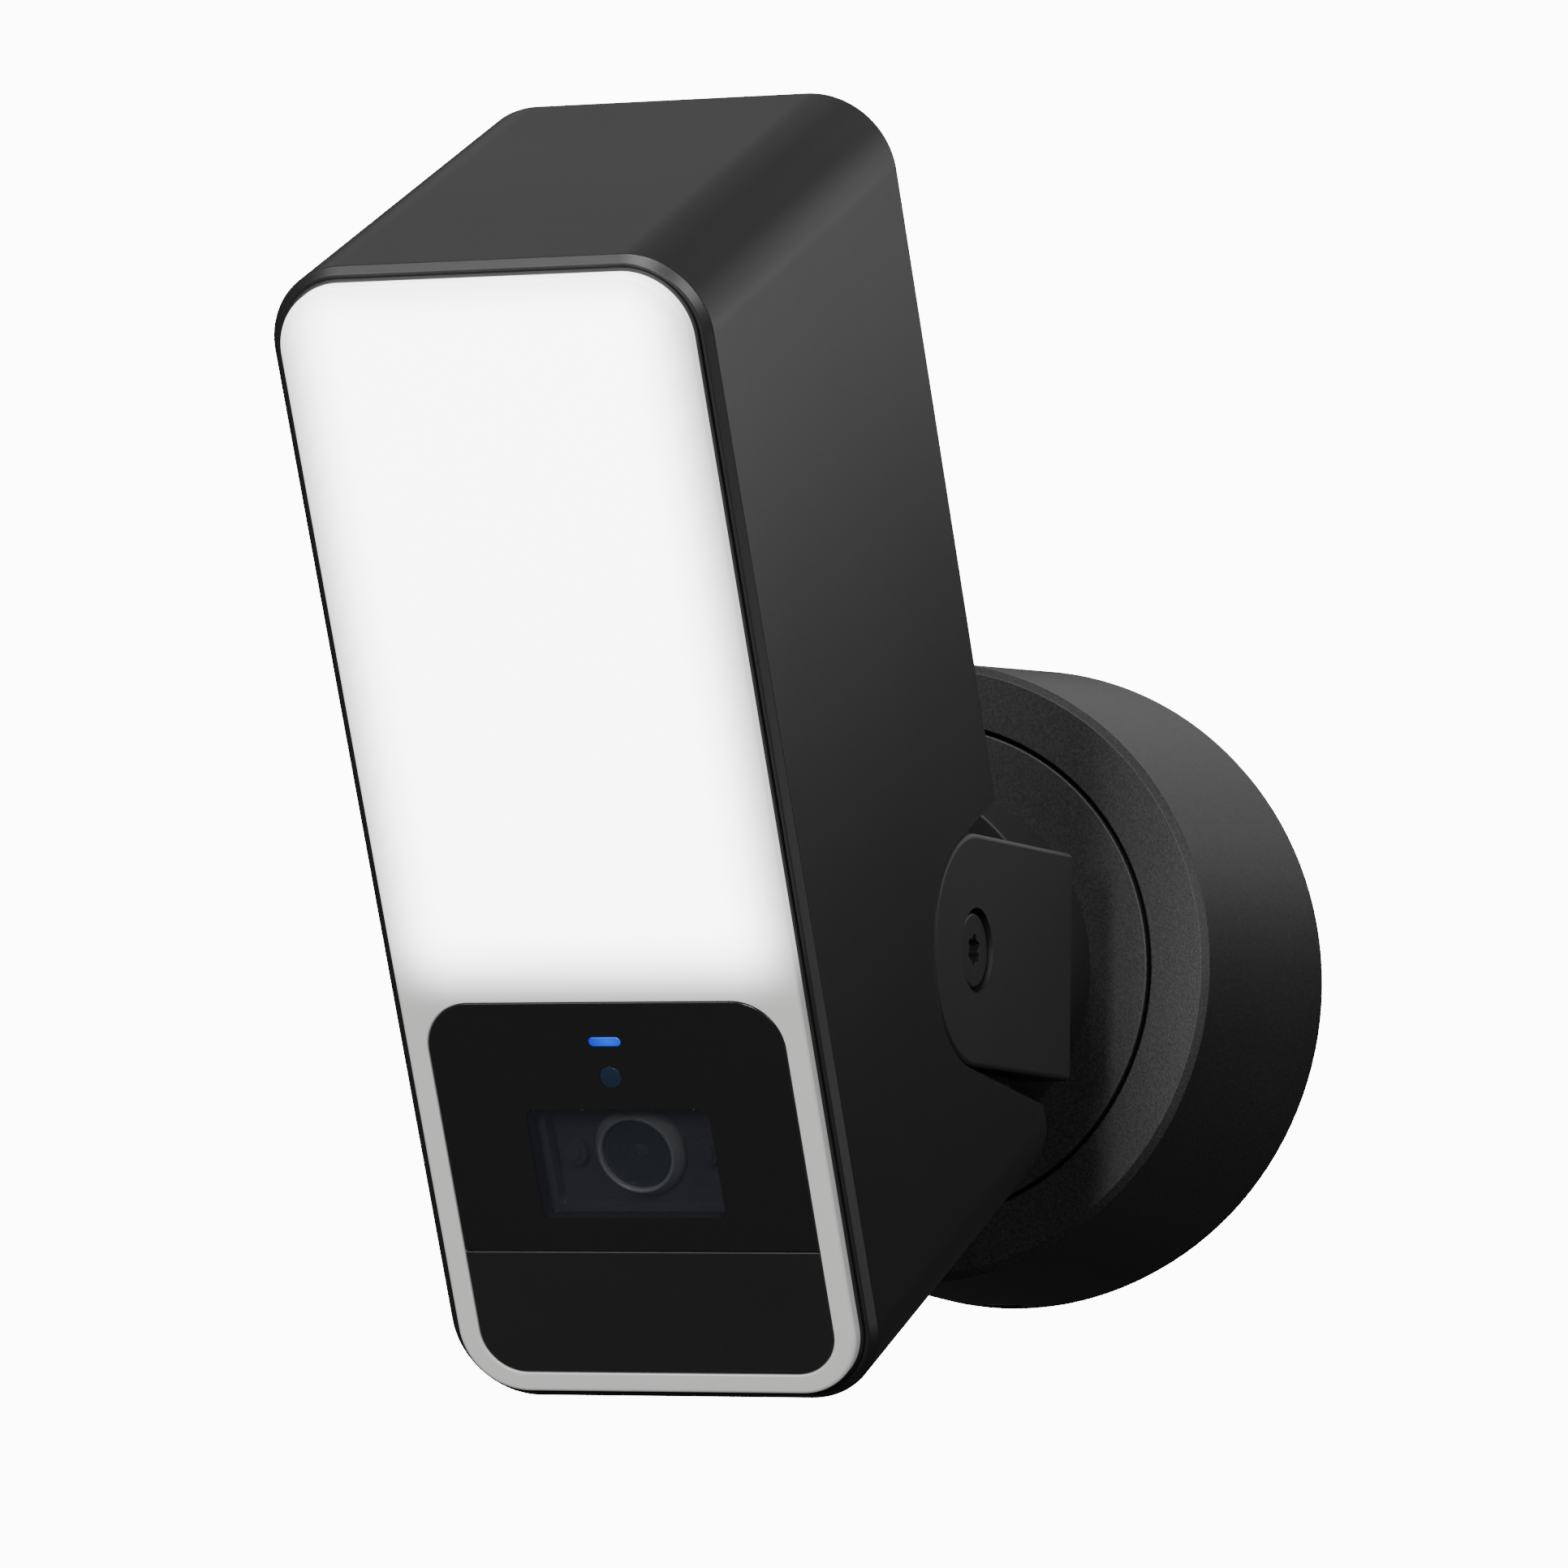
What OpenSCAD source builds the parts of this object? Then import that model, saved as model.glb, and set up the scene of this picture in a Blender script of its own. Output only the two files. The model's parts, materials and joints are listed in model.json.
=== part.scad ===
// Wall-mounted floodlight with a built-in camera.
// Millimetres. Origin on the wall, on the axis of the round base. +Z is up, the lamp faces -Y.
// The lamp head hangs in a yoke, the yoke stands on a turntable, the turntable turns in the base.

/* [Lamp head] */
// Width of the head
head_w = 76; // [74:0.5:80]
// Height of the head
head_h = 197; // [190:1:215]
// Depth of the head from the front face to the back
head_d = 88.5; // [86:0.5:95]
// Corner radius of the head
head_r = 13.7; // [12:0.1:16]
// Wall thickness of the cast shell
shell_wall = 1.95; // [1.8:0.05:2]
// Distance from the front face back to the shell's rim
rim_setback = 2.6; // [2.2:0.1:3]
// Chamfer round the shell's rim
rim_chamfer = 1.2; // [0.6:0.1:1.5]

/* [Front] */
// Gap between the rim and the light cover
front_gap = 0.7; // [0.5:0.1:0.8]
// Width of the black sensor panel
panel_w = 63.3; // [60:0.1:64]
// Top of the sensor panel below the head's centre
panel_top = -26.5; // [-28:0.5:-25]
// Bottom of the sensor panel below the head's centre
panel_bottom = -92.7; // [-93:0.1:-92]
// Height of the seam between the two panels, from the head's centre
panel_seam = -70.75; // [-71.5:0.05:-70]

/* [Yoke and tilt] */
// Distance of the tilt pivot from the wall
pivot_out = 120.5; // [118:0.5:128]
// Drop of the tilt pivot below the base's axis
pivot_drop = 1; // [0:0.5:2]
// Distance of the pivot behind the head's front face
pivot_depth = 69.6; // [69:0.1:70]
// Distance of the pivot below the head's centre
pivot_below = 46.6; // [46:0.1:47]
// Tilt of the head below the horizontal
tilt = 26.2; // [0:0.1:33]
// Furthest tilt that the pocket lets the head reach
tilt_max = 33.6; // [33:0.1:34]
// Radius of the yoke's round ears
ear_r = 19.6; // [18:0.1:20]
// Radius of the hub between yoke and turntable
hub_r = 33; // [32:0.5:36]

/* [Base] */
// Radius of the base at the wall
base_r_wall = 58; // [57:0.5:62]
// Radius of the base beside its front edge
base_r_front = 54.8; // [54.5:0.1:56]
// Depth of the base
base_d = 53.2; // [53:0.1:58]
// Radius of the turntable
disc_r = 43.5; // [42:0.1:43.6]

/* [Hidden] */
$fn = 64;

// Base
wall_t = 2.5;                                   // cover's wall
cover_from = 2;                                 // the cover stands on the gasket
edge_out = 1.1;                                 // front edge chamfer, along the axis
edge_in = 1.25;                                 // front edge chamfer, across the face
recess_r = disc_r + 0.7;
floor_out = base_d - 3.7;                       // floor that the turntable runs on
floor_t = 3;
neck_r = 18;                                    // hollow spindle that turns in the bush
bush_r = neck_r + 3;
spindle_end = 31;
spindle_seat = floor_out + 2;                   // how far the spindle goes into the turntable
bearing_gap = 0.05;
bearing_end = 34.4;
stop_r = 38;                                    // circle of the stop pin
stop_angle = 95;
plate_t = 2.5;
plate_r = 53.5;
screw_pcd = 88.9;                               // ceiling-box screw spacing, 3.5 inches
lug_out = 52.5;
cover_screw_out = 8;                            // height of the cover screws over the wall
board_out = 12;
// Yoke
ear_x = 32.7;                                   // inner face of an ear
ear_top = head_w / 2;                           // ears are flush with the head's sides
web_front = 78.7;                               // web between the ears, measured from the wall
web_back = 72.7;
yoke_corner = 4;
counterbore_r = 7.15;
counterbore_d = 3.2;
shoulder_r = 4;
// Head
back_wall = 3;
cavity_w = head_w - 2 * shell_wall;
cavity_h = head_h - 2 * (shell_wall - 0.25);
cavity_r = head_r - shell_wall;
cover_w = cavity_w - 2 * front_gap;             // light cover
cover_h = cavity_h - 2 * front_gap;
cover_r = cavity_r - front_gap;
cover_back = 6;
flange_back = 7;
pocket_r = ear_r + 0.4;
pocket_x = 31.9;                                // floor of the ear pockets
pocket_wall = 2.6;
thread_r = 3;
panel_fit = 0.15;
panel_h = panel_top - panel_bottom;
panel_mid = (panel_top + panel_bottom) / 2;
panel_face = 0.1;
panel_back = 3.05;
housing_back = 7.4;
lens_z = -55.5;
lens_r = 7.9;
window_z = lens_z + 0.4;                        // middle of the camera's window
window_w = 32.4;
window_h = 19.4;
status_z = panel_top - 7;
light_sensor_z = panel_top - 13.3;
motion_z = -82;
motion_pillar_x = 9.5;
board_pillar_x = 8.5;
board_pillar_z = -36.5;
holder_back = 22.5;
chassis_y = 36;
chassis_back = 38.4;
pillar_x = 30;
pillar_z = 88;
lamp_z = 34.5;                                  // middle of the lamp's light field
speaker_y = 55;
button_y = 76;

// A shape that stands on the wall: its Z becomes the distance out from the wall
module on_wall() rotate([90, 0, 0]) children();

// The head's own frame: origin in the middle of its front face, +Y towards its back
module in_head()
    translate([0, -pivot_out, -pivot_drop]) rotate([tilt, 0, 0])
        translate([0, -pivot_depth, pivot_below]) children();

module rounded_rect(w, h, r) {
    square([w, h - 2 * r], center = true);
    square([w - 2 * r, h], center = true);
    for (x = [-1, 1], z = [-1, 1]) translate([x * (w / 2 - r), z * (h / 2 - r)]) circle(r);
}

// Rounded rectangle across x and z, solid from y0 to y1
module slab(w, h, r, y0, y1, z = 0)
    translate([0, y1, z]) rotate([90, 0, 0]) linear_extrude(y1 - y0) rounded_rect(w, h, r);

// The same with its front edge chamfered by c
module chamfered_slab(w, h, r, y0, y1, c) {
    slab(w, h, r, y0 + c, y1);
    translate([0, 0, r - h / 2]) linear_extrude(h - 2 * r) bevel(w, y0, c);
    translate([r - w / 2, 0, 0]) rotate([90, 0, 90]) linear_extrude(w - 2 * r)
        mirror([1, -1]) bevel(h, y0, c);
    for (x = [-1, 1], z = [-1, 1])
        translate([x * (w / 2 - r), y0 + c, z * (h / 2 - r)]) rotate([90, 0, 0])
            cylinder(h = c, r1 = r, r2 = r - c);
}
module bevel(w, y0, c)
    polygon([[c - w / 2, y0], [w / 2 - c, y0], [w / 2, y0 + c], [-w / 2, y0 + c]]);

// Round bar along y from y0 to y1
module rod(r, y0, y1, x = 0, z = 0)
    translate([x, y1, z]) rotate([90, 0, 0]) cylinder(h = y1 - y0, r = r);

// Round bar along x from x0 to x1, on the line through y and z
module cross_rod(r, x0, x1, y, z)
    translate([x0, y, z]) rotate([0, 90, 0]) cylinder(h = x1 - x0, r = r);

module block(x0, x1, y0, y1, z0, z1) translate([x0, y0, z0]) cube([x1 - x0, y1 - y0, z1 - z0]);

module ring(r_out, r_in, z0, z1)
    translate([0, 0, z0]) difference() {
        cylinder(h = z1 - z0, r = r_out);
        translate([0, 0, -1]) cylinder(h = z1 - z0 + 2, r = r_in);
    }

// ---- base ----
module base_cover() color("#353536") on_wall() difference() {
    rotate_extrude() polygon([
        [base_r_wall, cover_from], [base_r_front, base_d - edge_out], [base_r_front - edge_in, base_d],
        [recess_r, base_d], [recess_r, floor_out], [bush_r, floor_out],
        [bush_r, floor_out - floor_t], [base_r_front - wall_t, floor_out - floor_t],
        [base_r_wall - wall_t, cover_from]]);
    rotate([0, 0, -stop_angle - 90]) rotate_extrude(angle = 2 * stop_angle)
        translate([stop_r - 2.5, floor_out - floor_t - 1]) square([5, floor_t + 2]);
    for (a = [90, -90]) rotate([0, 0, a]) translate([0, 0, cover_screw_out]) rotate([0, 90, 0]) {
        cylinder(h = 70, r = 1.8);
        translate([0, 0, 56]) cylinder(h = 5, r = 3.4);
    }
}

module wall_plate() color("#9a9c9e") on_wall() difference() {
    union() {
        cylinder(h = plate_t, r = plate_r);
        for (s = [-1, 1]) translate([-6, s > 0 ? lug_out - 4 : -lug_out, 0]) cube([12, 4, 14]);
        for (x = [-1, 1], y = [18, 38]) translate([x * 26, y, 0]) cylinder(h = board_out, r = 3);
    }
    translate([0, 0, -1]) cylinder(h = 10, r = 12);
    for (s = [-1, 1]) translate([s * screw_pcd / 2, 0, -1]) cylinder(h = 10, r = 2.3);
    for (s = [-1, 1]) translate([0, s * 58, cover_screw_out]) rotate([s * 90, 0, 0])
        cylinder(h = 15, r = 1.65);
}

module wall_gasket() color("#1b1b1b") on_wall() ring(base_r_wall - 0.4, plate_r + 0.5, 0, cover_from);

module cable_grommet() color("#202020") on_wall() difference() {
    union() {
        cylinder(h = plate_t, r = 11.95);
        translate([0, 0, plate_t]) cylinder(h = 2, r = 15);
    }
    translate([0, 0, -1]) cylinder(h = 10, r = 5);
}

module terminal_block() color("#e6e1d2") on_wall() difference() {
    translate([-18, -38, plate_t]) cube([36, 14, 12]);
    for (x = [-12, 0, 12]) translate([x, -31, plate_t + 6]) {
        cylinder(h = 10, r = 2.6);
        rotate([-90, 0, 0]) cylinder(h = 10, r = 2);
    }
}

module terminal_screws() color("#b8a05a") on_wall() for (x = [-12, 0, 12])
    translate([x, -31, plate_t + 8.5]) difference() {
        cylinder(h = 2.5, r = 2.5);
        translate([-3, -0.4, 1.8]) cube([6, 0.8, 2]);
    }

module driver_board() color("#2f6b3c") on_wall()
    translate([-30, 15, board_out]) cube([60, 26, 1.6]);

module driver_parts() color("#c9b458") on_wall() translate([0, 0, board_out + 1.6]) {
    translate([-9, 19, 0]) cube([18, 18, 14]);
    for (x = [-20, 20]) translate([x, 30, 0]) cylinder(h = 16, r = 5);
    translate([13, 17.5, 0]) cube([14, 6, 9]);
    translate([-26, 17.5, 0]) cube([12, 5, 8]);
}

module cover_screws() color("#8c8e90") on_wall() for (a = [90, -90])
    rotate([0, 0, a]) translate([0, 0, cover_screw_out]) rotate([0, 90, 0]) difference() {
        union() {
            translate([0, 0, 47.5]) cylinder(h = 9, r = 1.6);
            translate([0, 0, 56]) cylinder(h = 1.4, r = 3.2);
        }
        translate([0, 0, 56.6]) cylinder(h = 2, r = 1.5, $fn = 6);
    }

module bearing_bush() color("#b8a05a") on_wall()
    ring(bush_r - 0.02, neck_r + bearing_gap, bearing_end, floor_out);

module friction_washer() color("#d8d5c8") on_wall() ring(34, neck_r + 0.5, floor_out, floor_out + 0.35);
module swivel_seal() color("#151515") on_wall() ring(43.2, 41.2, floor_out, floor_out + 0.35);
module bearing_washer() color("#d8d5c8") on_wall() ring(23.5, neck_r + 0.3, bearing_end - 0.4, bearing_end);

// ---- swivel ----
module turntable() color("#303031") on_wall() difference() {
    union() {
        translate([0, 0, floor_out + 0.4]) cylinder(h = base_d - floor_out - 0.4, r = disc_r);
        translate([0, -stop_r, floor_out - 2.5]) cylinder(h = 3.5, r = 2);
    }
    translate([0, 0, floor_out - 1]) cylinder(h = 30, r = 14);
    translate([0, 0, floor_out - 1]) cylinder(h = spindle_seat - floor_out + 1, r = neck_r + 0.02);
    for (a = [45 : 90 : 315]) rotate(a) translate([26, 0, floor_out - 1]) cylinder(h = 10, r = 2.1);
}

module swivel_spindle() color("#8c8e90") on_wall() difference() {
    ring(neck_r, 14, spindle_end, spindle_seat);
    ring(neck_r + 1, neck_r - 1.5, 32.5, 34);
}

module retaining_ring() color("#a8aaac") on_wall()
    rotate([0, 0, 105]) rotate_extrude(angle = 330) translate([neck_r - 1.4, 32.6]) square([7.4, 1.3]);

module turntable_screws() color("#8c8e90") on_wall() for (a = [45 : 90 : 315])
    rotate(a) translate([26, 0, 0]) difference() {
        union() {
            translate([0, 0, floor_out + 0.5]) cylinder(h = 10, r = 1.55);
            translate([0, 0, floor_out + 0.5]) cylinder(h = 1.6, r = 2.05);
        }
        translate([0, 0, floor_out - 1]) cylinder(h = 2.4, r = 0.9, $fn = 6);
    }

// Side outline of an ear: a round end on the pivot and a straight body to the web
module ear_outline() {
    circle(ear_r);
    translate([0, -ear_r]) square([pivot_out - web_back, 2 * ear_r]);
}

module yoke() color("#2b2b2c") difference() {
    union() {
        intersection() {
            translate([0, 0, -50]) linear_extrude(100) difference() {
                union() {
                    translate([-ear_top, -200]) square([2 * ear_top, 200 - web_back - yoke_corner]);
                    translate([yoke_corner - ear_top, -150])
                        square([2 * (ear_top - yoke_corner), 150 - web_back]);
                    for (x = [-1, 1]) translate([x * (ear_top - yoke_corner), -web_back - yoke_corner])
                        circle(yoke_corner);
                }
                translate([-ear_x, -210]) square([2 * ear_x, 210 - web_front]);
            }
            translate([-50, -pivot_out, -pivot_drop]) rotate([90, 0, 90]) linear_extrude(100) ear_outline();
        }
        on_wall() translate([0, 0, base_d]) cylinder(h = web_back - base_d + 1, r = hub_r);
    }
    on_wall() difference() {
        translate([0, 0, base_d - 1]) cylinder(h = web_back - base_d - 1, r = hub_r - 4);
        for (a = [45 : 90 : 315]) rotate(a) translate([26, 0, base_d - 2]) cylinder(h = 22, r = 3.8);
    }
    on_wall() for (a = [45 : 90 : 315]) rotate(a) translate([26, 0, base_d - 1]) cylinder(h = 12, r = 1.6);
    on_wall() cylinder(h = 90, r = 5);
    for (s = [0, 180]) translate([0, -pivot_out, -pivot_drop]) rotate([0, 0, s]) {
        cross_rod(shoulder_r + 0.05, ear_x - 1, ear_top + 1, 0, 0);
        cross_rod(counterbore_r, ear_top - counterbore_d, ear_top + 1, 0, 0);
    }
}

module hub_grommet() color("#181818") on_wall() difference() {
    union() {
        translate([0, 0, 69]) cylinder(h = web_front - 69, r = 4.95);
        translate([0, 0, web_front]) cylinder(h = 1.2, r = 7);
    }
    translate([0, 0, 60]) cylinder(h = 30, r = 3);
}

// ---- head ----
// Outline of an ear pocket round the pivot, open towards the back and down to the tilt limit
module pocket_outline(r) {
    reach = head_d;
    circle(r);
    polygon([[0, 0], [0, r], [reach, r],
        [reach, -r * cos(tilt_max) - (reach + r * sin(tilt_max)) * tan(tilt_max)],
        [-r * sin(tilt_max), -r * cos(tilt_max)]]);
}
module ear_pocket(r, x0, x1) for (s = [0, 1]) mirror([s, 0, 0])
    translate([x0, pivot_depth, -pivot_below]) rotate([90, 0, 90]) linear_extrude(x1 - x0)
        pocket_outline(r);

module head_shell() color("#39393a") in_head() difference() {
    union() {
        difference() {
            chamfered_slab(head_w, head_h, head_r, rim_setback, head_d, rim_chamfer);
            slab(cavity_w, cavity_h, cavity_r, rim_setback - 1, head_d - back_wall);
        }
        intersection() {
            slab(head_w - 1, head_h - 1, head_r, chassis_back + 2, head_d - 1);
            ear_pocket(pocket_r + pocket_wall, pocket_x - pocket_wall, head_w / 2);
        }
        for (s = [0, 180]) translate([0, pivot_depth, -pivot_below]) rotate([0, 0, s])
            cross_rod(8, 22, pocket_x - 1, 0, 0);
        for (x = [-1, 1], z = [-1, 1])
            rod(3.5, chassis_back, head_d - 1, x * pillar_x, z * pillar_z);
    }
    ear_pocket(pocket_r, pocket_x, head_w / 2 + 1);
    for (s = [0, 180]) translate([0, pivot_depth, -pivot_below]) rotate([0, 0, s])
        cross_rod(thread_r + 0.02, 20, pocket_x + 1, 0, 0);
    for (x = [-1, 1], z = [-1, 1]) rod(1.55, chassis_back - 1, 52, x * pillar_x, z * pillar_z);
    rod(5, head_d - 5, head_d + 1, 0, -pivot_below);
    for (x = [-10 : 5 : 10]) block(x - 0.8, x + 0.8, speaker_y - 8, speaker_y + 8, -head_h / 2 - 1, -90);
    translate([0, button_y, -head_h / 2 - 1]) cylinder(h = 8, r = 2.6);
}

module star(r) {
    circle(r * 0.78);
    for (a = [0 : 60 : 300]) rotate(a) translate([r * 0.72, 0]) circle(r * 0.28);
}

module pivot_screws() color("#4a4b4c") in_head() for (s = [0, 180])
    translate([0, pivot_depth, -pivot_below]) rotate([0, 0, s]) difference() {
        union() {
            cross_rod(thread_r, 23, pocket_x + 0.5, 0, 0);
            cross_rod(shoulder_r, pocket_x, 35, 0, 0);
            cross_rod(6.3, ear_top - counterbore_d + 0.1, 37.4, 0, 0);
        }
        translate([35.4, 0, 0]) rotate([0, 90, 0]) linear_extrude(4) star(2.75);
    }

module tilt_washers() color("#d8d5c8") in_head() for (s = [0, 180])
    translate([0, pivot_depth, -pivot_below]) rotate([0, 0, s]) difference() {
        cross_rod(9, pocket_x, ear_x - 0.1, 0, 0);
        cross_rod(shoulder_r + 0.1, pocket_x - 1, ear_x + 1, 0, 0);
    }

module front_gasket() color("#0e0e0e") in_head() difference() {
    slab(cavity_w, cavity_h, cavity_r, rim_setback - 0.5, flange_back);
    slab(cover_w, cover_h, cover_r, 0, cover_back);
    slab(cover_w - 4, cover_h - 4, cover_r - 2, 0, flange_back + 1);
}

module light_cover() color("#f2f2f0") in_head() difference() {
    chamfered_slab(cover_w, cover_h, cover_r, 0, cover_back, 0.5);
    difference() {
        slab(cover_w - 3, cover_h - 3, cover_r - 1.5, 2.4, cover_back + 1);
        slab(panel_w + 3, panel_h + 3, 9.5, 1, cover_back + 2, panel_mid);
    }
    slab(panel_w, panel_h, 8, -1, cover_back + 1, panel_mid);
}

module led_places() for (x = [-20, 0, 20], z = [-2 : 5]) translate([x, 0, z * 13 + 15]) children();

module led_tray() color("#f4f4f2") in_head() difference() {
    slab(66, 115, 8, housing_back + 0.1, 20, lamp_z);
    slab(62.8, 111.8, 6.4, 0, 18.4, lamp_z);
    led_places() rod(4, 18, 21);
}

module led_board() color("#e9ebe8") in_head() slab(62, 110, 4, 20, 21.6, lamp_z);

module led_chips() color("#f0d860") in_head() led_places() {
    block(-2.5, 2.5, 19.4, 20, -2.5, 2.5);
    rod(1.9, 19, 19.5);
}

module heat_spreader() color("#b9bcbe") in_head() {
    slab(62, 110, 4, 21.6, 25, lamp_z);
    for (x = [-25 : 10 : 25]) block(x - 1, x + 1, 24.5, 33, lamp_z - 46, lamp_z + 46);
}

module chassis() color("#26282a") in_head() difference() {
    union() {
        slab(70, 191, 10, chassis_y, chassis_back);
        for (x = [-1, 1], z = [-5, 65]) rod(3, chassis_back - 1, 42, x * 25, z);
        for (x = [-1, 1], z = [-17, 86]) rod(3.5, 25, chassis_y + 1, x * 20, z);
    }
    for (x = [-1, 1], z = [-1, 1]) rod(1.8, chassis_y - 1, chassis_back + 1, x * pillar_x, z * pillar_z);
    slab(40, 50, 5, chassis_y - 1, chassis_back + 1, -60);
}

module chassis_screws() color("#8c8e90") in_head() for (x = [-1, 1], z = [-1, 1])
    translate([x * pillar_x, 0, z * pillar_z]) difference() {
        union() {
            rod(1.5, chassis_y - 1, 49);
            rod(2.9, chassis_y - 1.8, chassis_y);
        }
        translate([0, chassis_y - 0.7, 0]) rotate([90, 0, 0]) cylinder(h = 3, r = 1.2, $fn = 6);
    }

module main_board() color("#1f5c34") in_head() slab(58, 80, 2, 42, 43.6, 30);

module main_board_parts() color("#3a3a3c") in_head() {
    block(-24, -8, 43.6, 45, 44, 60);
    block(4, 18, 43.6, 45.2, 46, 58);
    for (x = [-22, -12, -2]) block(x, x + 6, 43.6, 46, 4, 12);
    for (x = [12, 21]) rod(3.2, 43.6, 51, x, 4);
    block(-10, 10, 43.6, 49, -9, -3);
}

module radio_shield() color("#c6c8c9") in_head() difference() {
    block(-12, 14, 43.6, 46.8, 16, 40);
    block(-11.6, 13.6, 43, 46.4, 16.4, 39.6);
}

module antenna() color("#b07b35") in_head() {
    block(-18, 18, chassis_back, chassis_back + 1, 78, 92);
    block(-2, 2, chassis_back + 1, chassis_back + 3, 80, 84);
}

module head_grommet() color("#181818") in_head() difference() {
    union() {
        rod(4.95, head_d - back_wall, head_d, 0, -pivot_below);
        rod(7, head_d, head_d + 1.2, 0, -pivot_below);
        rod(7, head_d - back_wall - 1.5, head_d - back_wall, 0, -pivot_below);
    }
    rod(3, head_d - 10, head_d + 5, 0, -pivot_below);
}

// Sensor panel: outline inside the opening of the light cover
module panel_outline(r, y0, y1) slab(panel_w - 2 * panel_fit, panel_h - 2 * panel_fit, r, y0, y1, panel_mid);

module camera_panel() color("#0f0f10") in_head() difference() {
    panel_outline(8.2, panel_face, panel_back);
    block(-40, 40, -1, 10, -100, panel_seam + 0.05);
    slab(window_w, window_h, 1.5, -1, 10, window_z);
    slab(5.7, 1.7, 0.84, -1, 10, status_z);
    rod(1.95, -1, 10, 0, light_sensor_z);
}

module motion_sensor_cover() color("#161617") in_head() difference() {
    panel_outline(7.6, panel_face, panel_back);
    block(-40, 40, -1, 10, panel_seam - 0.05, 0);
    slab(30, 14, 3, 1.4, 10, motion_z);
}

module camera_housing() color("#121213") in_head() difference() {
    union() {
        panel_outline(7.6, panel_back, housing_back);
        slab(66, 69, 9, cover_back, housing_back, panel_mid);
        for (x = [-1, 1]) rod(2, housing_back - 1, 14.2, x * motion_pillar_x, motion_z);
        for (x = [-1, 1]) rod(1.5, housing_back - 1, 9, x * board_pillar_x, board_pillar_z);
    }
    slab(window_w + 1.8, window_h + 1.8, 2.4, 0, 4.3, window_z);
    slab(30, 17.4, 1, 0, 10, lens_z);
    slab(5.9, 1.9, 0.94, 0, 10, status_z);
    rod(1.5, 0, 10, 0, light_sensor_z);
    rod(6, 0, 10, 0, motion_z);
}

// Flush pane with a flange behind the panel
module camera_window() color("#2a3036", 0.5) in_head() {
    slab(window_w - 0.1, window_h - 0.1, 1.45, panel_face + 0.02, panel_back + 0.1, window_z);
    slab(window_w + 1.6, window_h + 1.6, 2.3, panel_back, 4.25, window_z);
}
module status_light_guide() color("#2f6bff") in_head() slab(5.6, 1.6, 0.79, 0, 8.6, status_z);
module light_sensor_window() color("#1c2530", 0.7) in_head() rod(1.9, 0.1, panel_back, 0, light_sensor_z);
module sensor_board() color("#1f5c34") in_head() block(-11, 11, 9, 10.2, -42, -31);
module microphone() color("#c9a94a") in_head() block(-7.5, -4, 10.2, 11.3, -39.5, -36.7);

module lens_ring() color("#2c2f30") in_head() difference() {
    rod(lens_r, 5.2, 8.4, 0, lens_z);
    rod(6.1, 0, 9, 0, lens_z);
}

module lens_front_glass() color("#141a1a", 0.8) in_head() intersection() {
    rod(6.05, 4, 8.4, 0, lens_z);
    translate([0, 19.4, lens_z]) sphere(r = 14);
}

module lens_barrel() color("#1a1a1b") in_head() difference() {
    rod(lens_r, 8.4, 20, 0, lens_z);
    rod(6.1, 8, 21, 0, lens_z);
}

module rear_lens() color("#2b3440", 0.8) in_head() rod(6.05, 13, 16, 0, lens_z);

module lens_holder() color("#1c1d1e") in_head() difference() {
    block(-18, 18, housing_back, holder_back, lens_z - 11, lens_z + 11);
    rod(lens_r + 0.02, 0, 20.05, 0, lens_z);
    block(-5.4, 12.6, 19, holder_back + 1, lens_z - 5.4, lens_z + 5.4);
}

module infrared_leds() color("#23232a") in_head() for (x = [-1, 1]) {
    rod(2.4, 6, housing_back, x * 11.8, lens_z);
    rod(1.4, 5.4, 6.1, x * 11.8, lens_z);
}

module infrared_cut_filter() color("#7fb6c8", 0.6) in_head()
    block(-5, 5, 20.5, 21.1, lens_z - 5, lens_z + 5);
module image_sensor() color("#3c4a55") in_head()
    block(-3.5, 3.5, 21.5, holder_back, lens_z - 2.8, lens_z + 2.8);
module image_board() color("#1f5c34") in_head() block(-19, 19, holder_back, 23.7, lens_z - 12, lens_z + 12);

module motion_sensor() color("#aeb0b1") in_head() difference() {
    union() {
        rod(4.6, 10, 14.2, 0, motion_z);
        rod(5.2, 13.6, 14.2, 0, motion_z);
    }
    block(-2, 2, 9, 10.3, motion_z - 1.5, motion_z + 1.5);
}
module motion_sensor_board() color("#1f5c34") in_head() block(-13, 13, 14.2, 15.4, -90, -74);

module speaker() color("#2a2a2c") in_head() translate([0, speaker_y, 0]) difference() {
    union() {
        translate([0, 0, -cavity_h / 2 + 0.5]) cylinder(h = 8, r = 14);
        translate([0, 0, -cavity_h / 2 + 7]) cylinder(h = 7, r = 8);
    }
    translate([0, 0, -cavity_h / 2]) cylinder(h = 3, r1 = 12.5, r2 = 9);
}
module speaker_gasket() color("#141414") in_head() translate([0, speaker_y, -cavity_h / 2])
    difference() {
        cylinder(h = 0.5, r = 14);
        translate([0, 0, -1]) cylinder(h = 3, r = 12.8);
    }

module reset_button() color("#232324") in_head() translate([0, button_y, 0]) {
    translate([0, 0, -head_h / 2 + 0.2]) cylinder(h = 4, r = 2.5);
    translate([0, 0, 1 - cavity_h / 2]) cylinder(h = 1.2, r = 3.4);
}
module reset_switch() color("#7b7d7f") in_head() translate([0, button_y, 0]) difference() {
    union() {
        translate([-4, -4, 4 - cavity_h / 2]) cube([8, 8, 2.5]);
        translate([-6, -6, 6.5 - cavity_h / 2]) cube([12, 12, 1.2]);
    }
    translate([-2.6, -2.6, 3 - cavity_h / 2]) cube([5.2, 5.2, 2]);
}

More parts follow.
